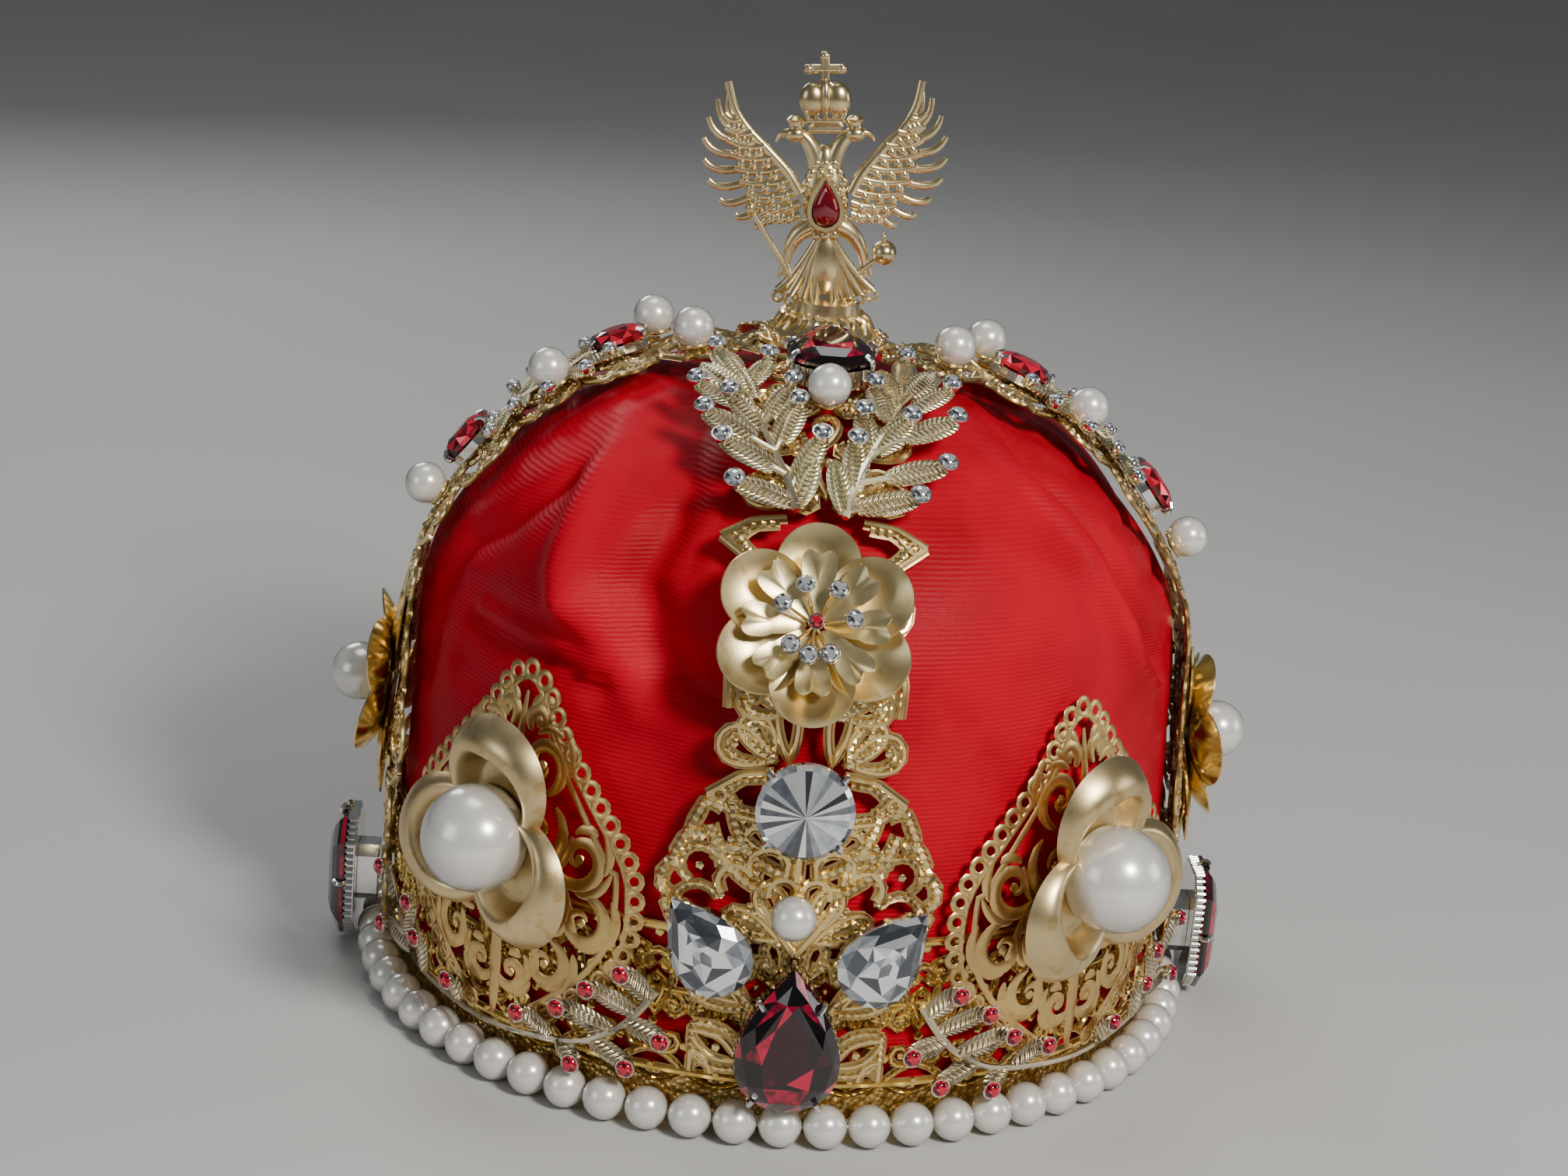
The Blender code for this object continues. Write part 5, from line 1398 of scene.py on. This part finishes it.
breast = hull_cut(pear_outline(6.5, 11.0, 40), [(0.12, 2.34, 2, 0), (0.32, 2.26, 2, 0), (0.52, 2.06, 1, 0),
                                                (0.72, 1.70, 1, 0), (0.88, 1.20, 1, 0), (0.97, 0.70, 1, 0),
                                                (1.0, 0.05, 1, 0)])
for face in breast.faces:
    face[breast.faces.layers.float["facet"]] = 0.33
bezel = np.column_stack([pear_outline(7.7, 12.4, 28), np.full(28, 0.0)])
piece("breast_ruby", [(breast, "ruby"), (wires_of([plain(bezel, 0.72, True)]), "eagle")], ["eagle_stone"],
      at=upright @ Matrix.Translation((0, 26.5, 3.3)), sharp=60)

# %% [markdown]
# ## The cap
# One piece of stretch velvet, cut as four gores and pulled over the head, is held by the band at the bottom
# and by the arches above. It bellies out between them, sags in folds where it is slack, and most of all it
# dents at the front left. The surface is drawn from the same table as its solid, made smooth, and its folds
# and creases are moves of its points, read from two short tables.

# %% Surface of the cap
CAP_LINES = [(1.0, 91.0, 0.0, 0.0), (10.5, 91.0, 0.0, 0.0), (16.0, 93.3, 0.0, 0.0), (52.0, 93.3, 0.0, 0.0),
             (98.0, 88.9, -1.5, -0.5), (113.0, 84.6, 1.5, 8.5), (127.0, 75.0, 4.0, 13.0),
             (140.0, 61.0, 3.5, 12.0), (149.0, 44.0, 2.0, 7.0), (154.0, 22.0, 0.3, 1.5), (155.4, 0.0, 0.0, 0.0)]
# Broad hollows: azimuth and height of the middle, half width in degrees, half height, depth.
CAP_FOLDS = [(-24.0, 106.0, 11.0, 30.0, 4.0), (-38.0, 128.0, 9.0, 14.0, -1.5), (-58.0, 112.0, 10.0, 22.0, 2.5),
             (52.0, 118.0, 10.0, 22.0, 1.5), (140.0, 112.0, 10.0, 24.0, 3.0), (222.0, 116.0, 11.0, 22.0, 3.0),
             (90.0, 98.0, 13.0, 24.0, -2.4), (270.0, 98.0, 13.0, 24.0, -2.4)]
# Creases: depth (negative stands out), half width in mm, and the line in azimuth and height.
CAP_CREASES = [
    (-3.4, 4.6, [(-110, 152.6), (-79, 151.3), (-54, 148.5), (-48, 143.5), (-44, 136), (-42, 128), (-41, 119),
                 (-38.5, 113.5)]),
    (-2.0, 4.0, [(-38.5, 113.5), (-31, 102), (-25, 93), (-19, 92), (-14, 91)]),
    (5.0, 6.5, [(-48, 152), (-36, 147), (-31, 141), (-28, 135), (-28, 128), (-30, 119), (-27, 112), (-24, 105),
                (-19, 100), (-14, 97.5)]),
    (1.8, 2.2, [(-62, 98.7), (-50, 99), (-40, 98.7), (-32, 95)]),
    (-1.3, 2.0, [(-60, 102.6), (-50, 103), (-40, 102.4), (-34, 99)]),
    (3.2, 4.2, [(-52, 133), (-60, 122), (-69.5, 113.5), (-75, 100), (-75.6, 82)]),
    (-2.8, 3.6, [(95, 153.6), (48.6, 149.6), (45.7, 143), (48.6, 136.6), (51, 130), (52, 120), (58, 106),
                 (67, 93)]),
    (4.0, 4.4, [(98, 150), (58, 147), (53, 141), (56.5, 131), (58, 120), (64, 106), (73, 93)]),
    (1.4, 1.8, [(62, 139), (72, 137), (82, 139)]), (1.3, 1.8, [(64, 129), (73, 126), (82, 127)]),
    (1.2, 1.8, [(66, 118), (74, 114), (82, 114)]), (1.2, 2.0, [(-64, 88), (-52, 84), (-44, 78)]),
    (1.1, 1.8, [(-36, 86), (-28, 82), (-20, 83)]), (1.3, 2.4, [(-22, 124), (-18, 134), (-14, 144)]),
    (1.0, 2.0, [(18, 150), (30, 146), (42, 147)]), (0.9, 2.0, [(20, 98), (28, 84), (32, 72)]),
    (-2.4, 4.2, [(105, 152), (128, 148), (134, 138), (136, 124), (132, 110), (124, 98)]),
    (4.4, 5.6, [(112, 150), (142, 146), (147, 136), (149, 120), (146, 106), (138, 92)]),
    (-2.2, 4.0, [(250, 152), (232, 147), (226, 138), (224, 124), (229, 108), (238, 96)]),
    (4.0, 5.4, [(244, 150), (218, 145), (212, 134), (210, 120), (214, 104), (222, 90)]),
    (1.4, 2.2, [(152, 96), (164, 92), (172, 94)]), (1.3, 2.0, [(188, 128), (198, 124), (205, 126)])]
CREASE_MM_PER_DEGREE, CREASE_STRENGTH = 1.5, 1.25
CAP_ROWS = smooth_line(CAP_LINES, 10)
CAP_ROWS[:, 1] = np.maximum(CAP_ROWS[:, 1], 0.0)


def turned_by(azimuth, other):
    return (azimuth - other + 180.0) % 360.0 - 180.0


def crease(azimuth, height, depth, width, line):
    """How far in the crease pulls the cloth at each point: full on its line, fading to its sides and ends."""
    nearest = np.full(np.shape(azimuth), 1e9)
    for (a0, h0), (a1, h1) in zip(line[:-1], line[1:]):
        x, y = turned_by(azimuth, a0) * CREASE_MM_PER_DEGREE, height - h0
        dx, dy = (a1 - a0) * CREASE_MM_PER_DEGREE, h1 - h0
        t = np.clip((x * dx + y * dy) / (dx * dx + dy * dy), 0.0, 1.0)
        nearest = np.minimum(nearest, np.hypot(x - t * dx, y - t * dy))
    return depth * np.exp(-(nearest / width) ** 2)


def cap_points(azimuth, share):
    """Points of the cap at shares of the way from its hem to its top."""
    line = share * (len(CAP_ROWS) - 1)
    height, radius, front, back = (np.interp(line, range(len(CAP_ROWS)), column) for column in CAP_ROWS.T)
    between_arches = np.maximum(0.0, np.abs(np.sin(np.radians(2 * azimuth))) - 0.35) / 0.65
    backward = 0.5 - 0.5 * np.cos(np.radians(azimuth))
    radius = radius + between_arches * (front + (back - front) * backward)
    inward = np.zeros(np.shape(azimuth))
    for fold_azimuth, fold_height, half_turn, half_height, depth in CAP_FOLDS:
        away = turned_by(azimuth, fold_azimuth)
        inward += depth * np.exp(-(away / half_turn) ** 2 - ((height - fold_height) / half_height) ** 2)
    for depth, width, points in CAP_CREASES:
        inward += CREASE_STRENGTH * crease(azimuth, height, depth, width, points)
    radius = radius - inward * np.clip(radius / 40.0, 0.0, 1.0)
    a = np.radians(azimuth)
    return np.stack([radius * np.sin(a), -radius * np.cos(a), height], axis=1)


COLUMNS, ROWS = 256, 104
cap_bm = bmesh.new()
bmesh.ops.create_grid(cap_bm, x_segments=COLUMNS, y_segments=ROWS, size=0.5)
shares = np.array([vertex.co for vertex in cap_bm.verts]) + 0.5
for vertex, place in zip(cap_bm.verts, cap_points(360.0 * shares[:, 0], shares[:, 1])):
    vertex.co = place
bmesh.ops.remove_doubles(cap_bm, verts=cap_bm.verts, dist=1e-3)
bmesh.ops.recalc_face_normals(cap_bm, faces=cap_bm.faces)
cap = piece("velvet_cap", [(cap_bm, "velvet")], ["cap"], sharp=180)
wall = cap.modifiers.new("Wall", "SOLIDIFY")
wall.thickness = 0.0012
wall.offset = 0.0
areas = sum(face.area for face in cap.data.polygons)
print("area of the cap:", round(areas, 4), "square metres")

# %% [markdown]
# ## Floor and light
# A plain pale floor and soft studio lamps: a broad one high at the right in front, as in the photograph,
# where the arch throws its shadow to the left, a weaker one on each side, one above, and one behind for the
# rim.

# %% Stage
floor = bmesh.new()
bmesh.ops.create_grid(floor, x_segments=2, y_segments=2, size=9.0)
floor_mesh = bpy.data.meshes.new("floor")
floor.to_mesh(floor_mesh)
floor.free()
s = Shader("pale_floor", (0.56, 0.555, 0.54), 0.75)
floor_mesh.materials.append(s.finished(s.ramp(s.noise(3.0, 2.0), (0.3, (0.54, 0.535, 0.52)),
                                              (0.7, (0.58, 0.575, 0.56)))))
floor_object = bpy.data.objects.new("floor", floor_mesh)
bpy.context.scene.collection.objects.link(floor_object)


def lamp(name, place, size, power, colour=(1.0, 1.0, 1.0)):
    """Square soft lamp that looks at the middle of the crown."""
    data = bpy.data.lights.new(name, "AREA")
    data.shape = "SQUARE"
    data.size = size
    data.energy = power
    data.color = colour
    made = bpy.data.objects.new(name, data)
    made.location = place
    made.rotation_euler = (Vector((0, 0, 0.1)) - Vector(place)).to_track_quat("-Z", "Y").to_euler()
    bpy.context.scene.collection.objects.link(made)
    return made


lamp("key", (0.46, -0.80, 0.78), 0.24, 12.0, (1.0, 0.97, 0.93))
lamp("left_fill", (-0.95, -0.65, 0.45), 0.5, 1.4, (0.92, 0.95, 1.0))
lamp("right_fill", (1.05, -0.10, 0.35), 0.4, 1.4)
lamp("above", (-0.1, 0.15, 1.2), 0.5, 2.4)
lamp("behind", (-0.45, 0.95, 0.7), 0.4, 3.0)
world = bpy.data.worlds.new("room")
world.use_nodes = True
world.node_tree.nodes["Background"].inputs["Color"].default_value = (0.60, 0.62, 0.66, 1.0)
world.node_tree.nodes["Background"].inputs["Strength"].default_value = 0.18
bpy.context.scene.world = world
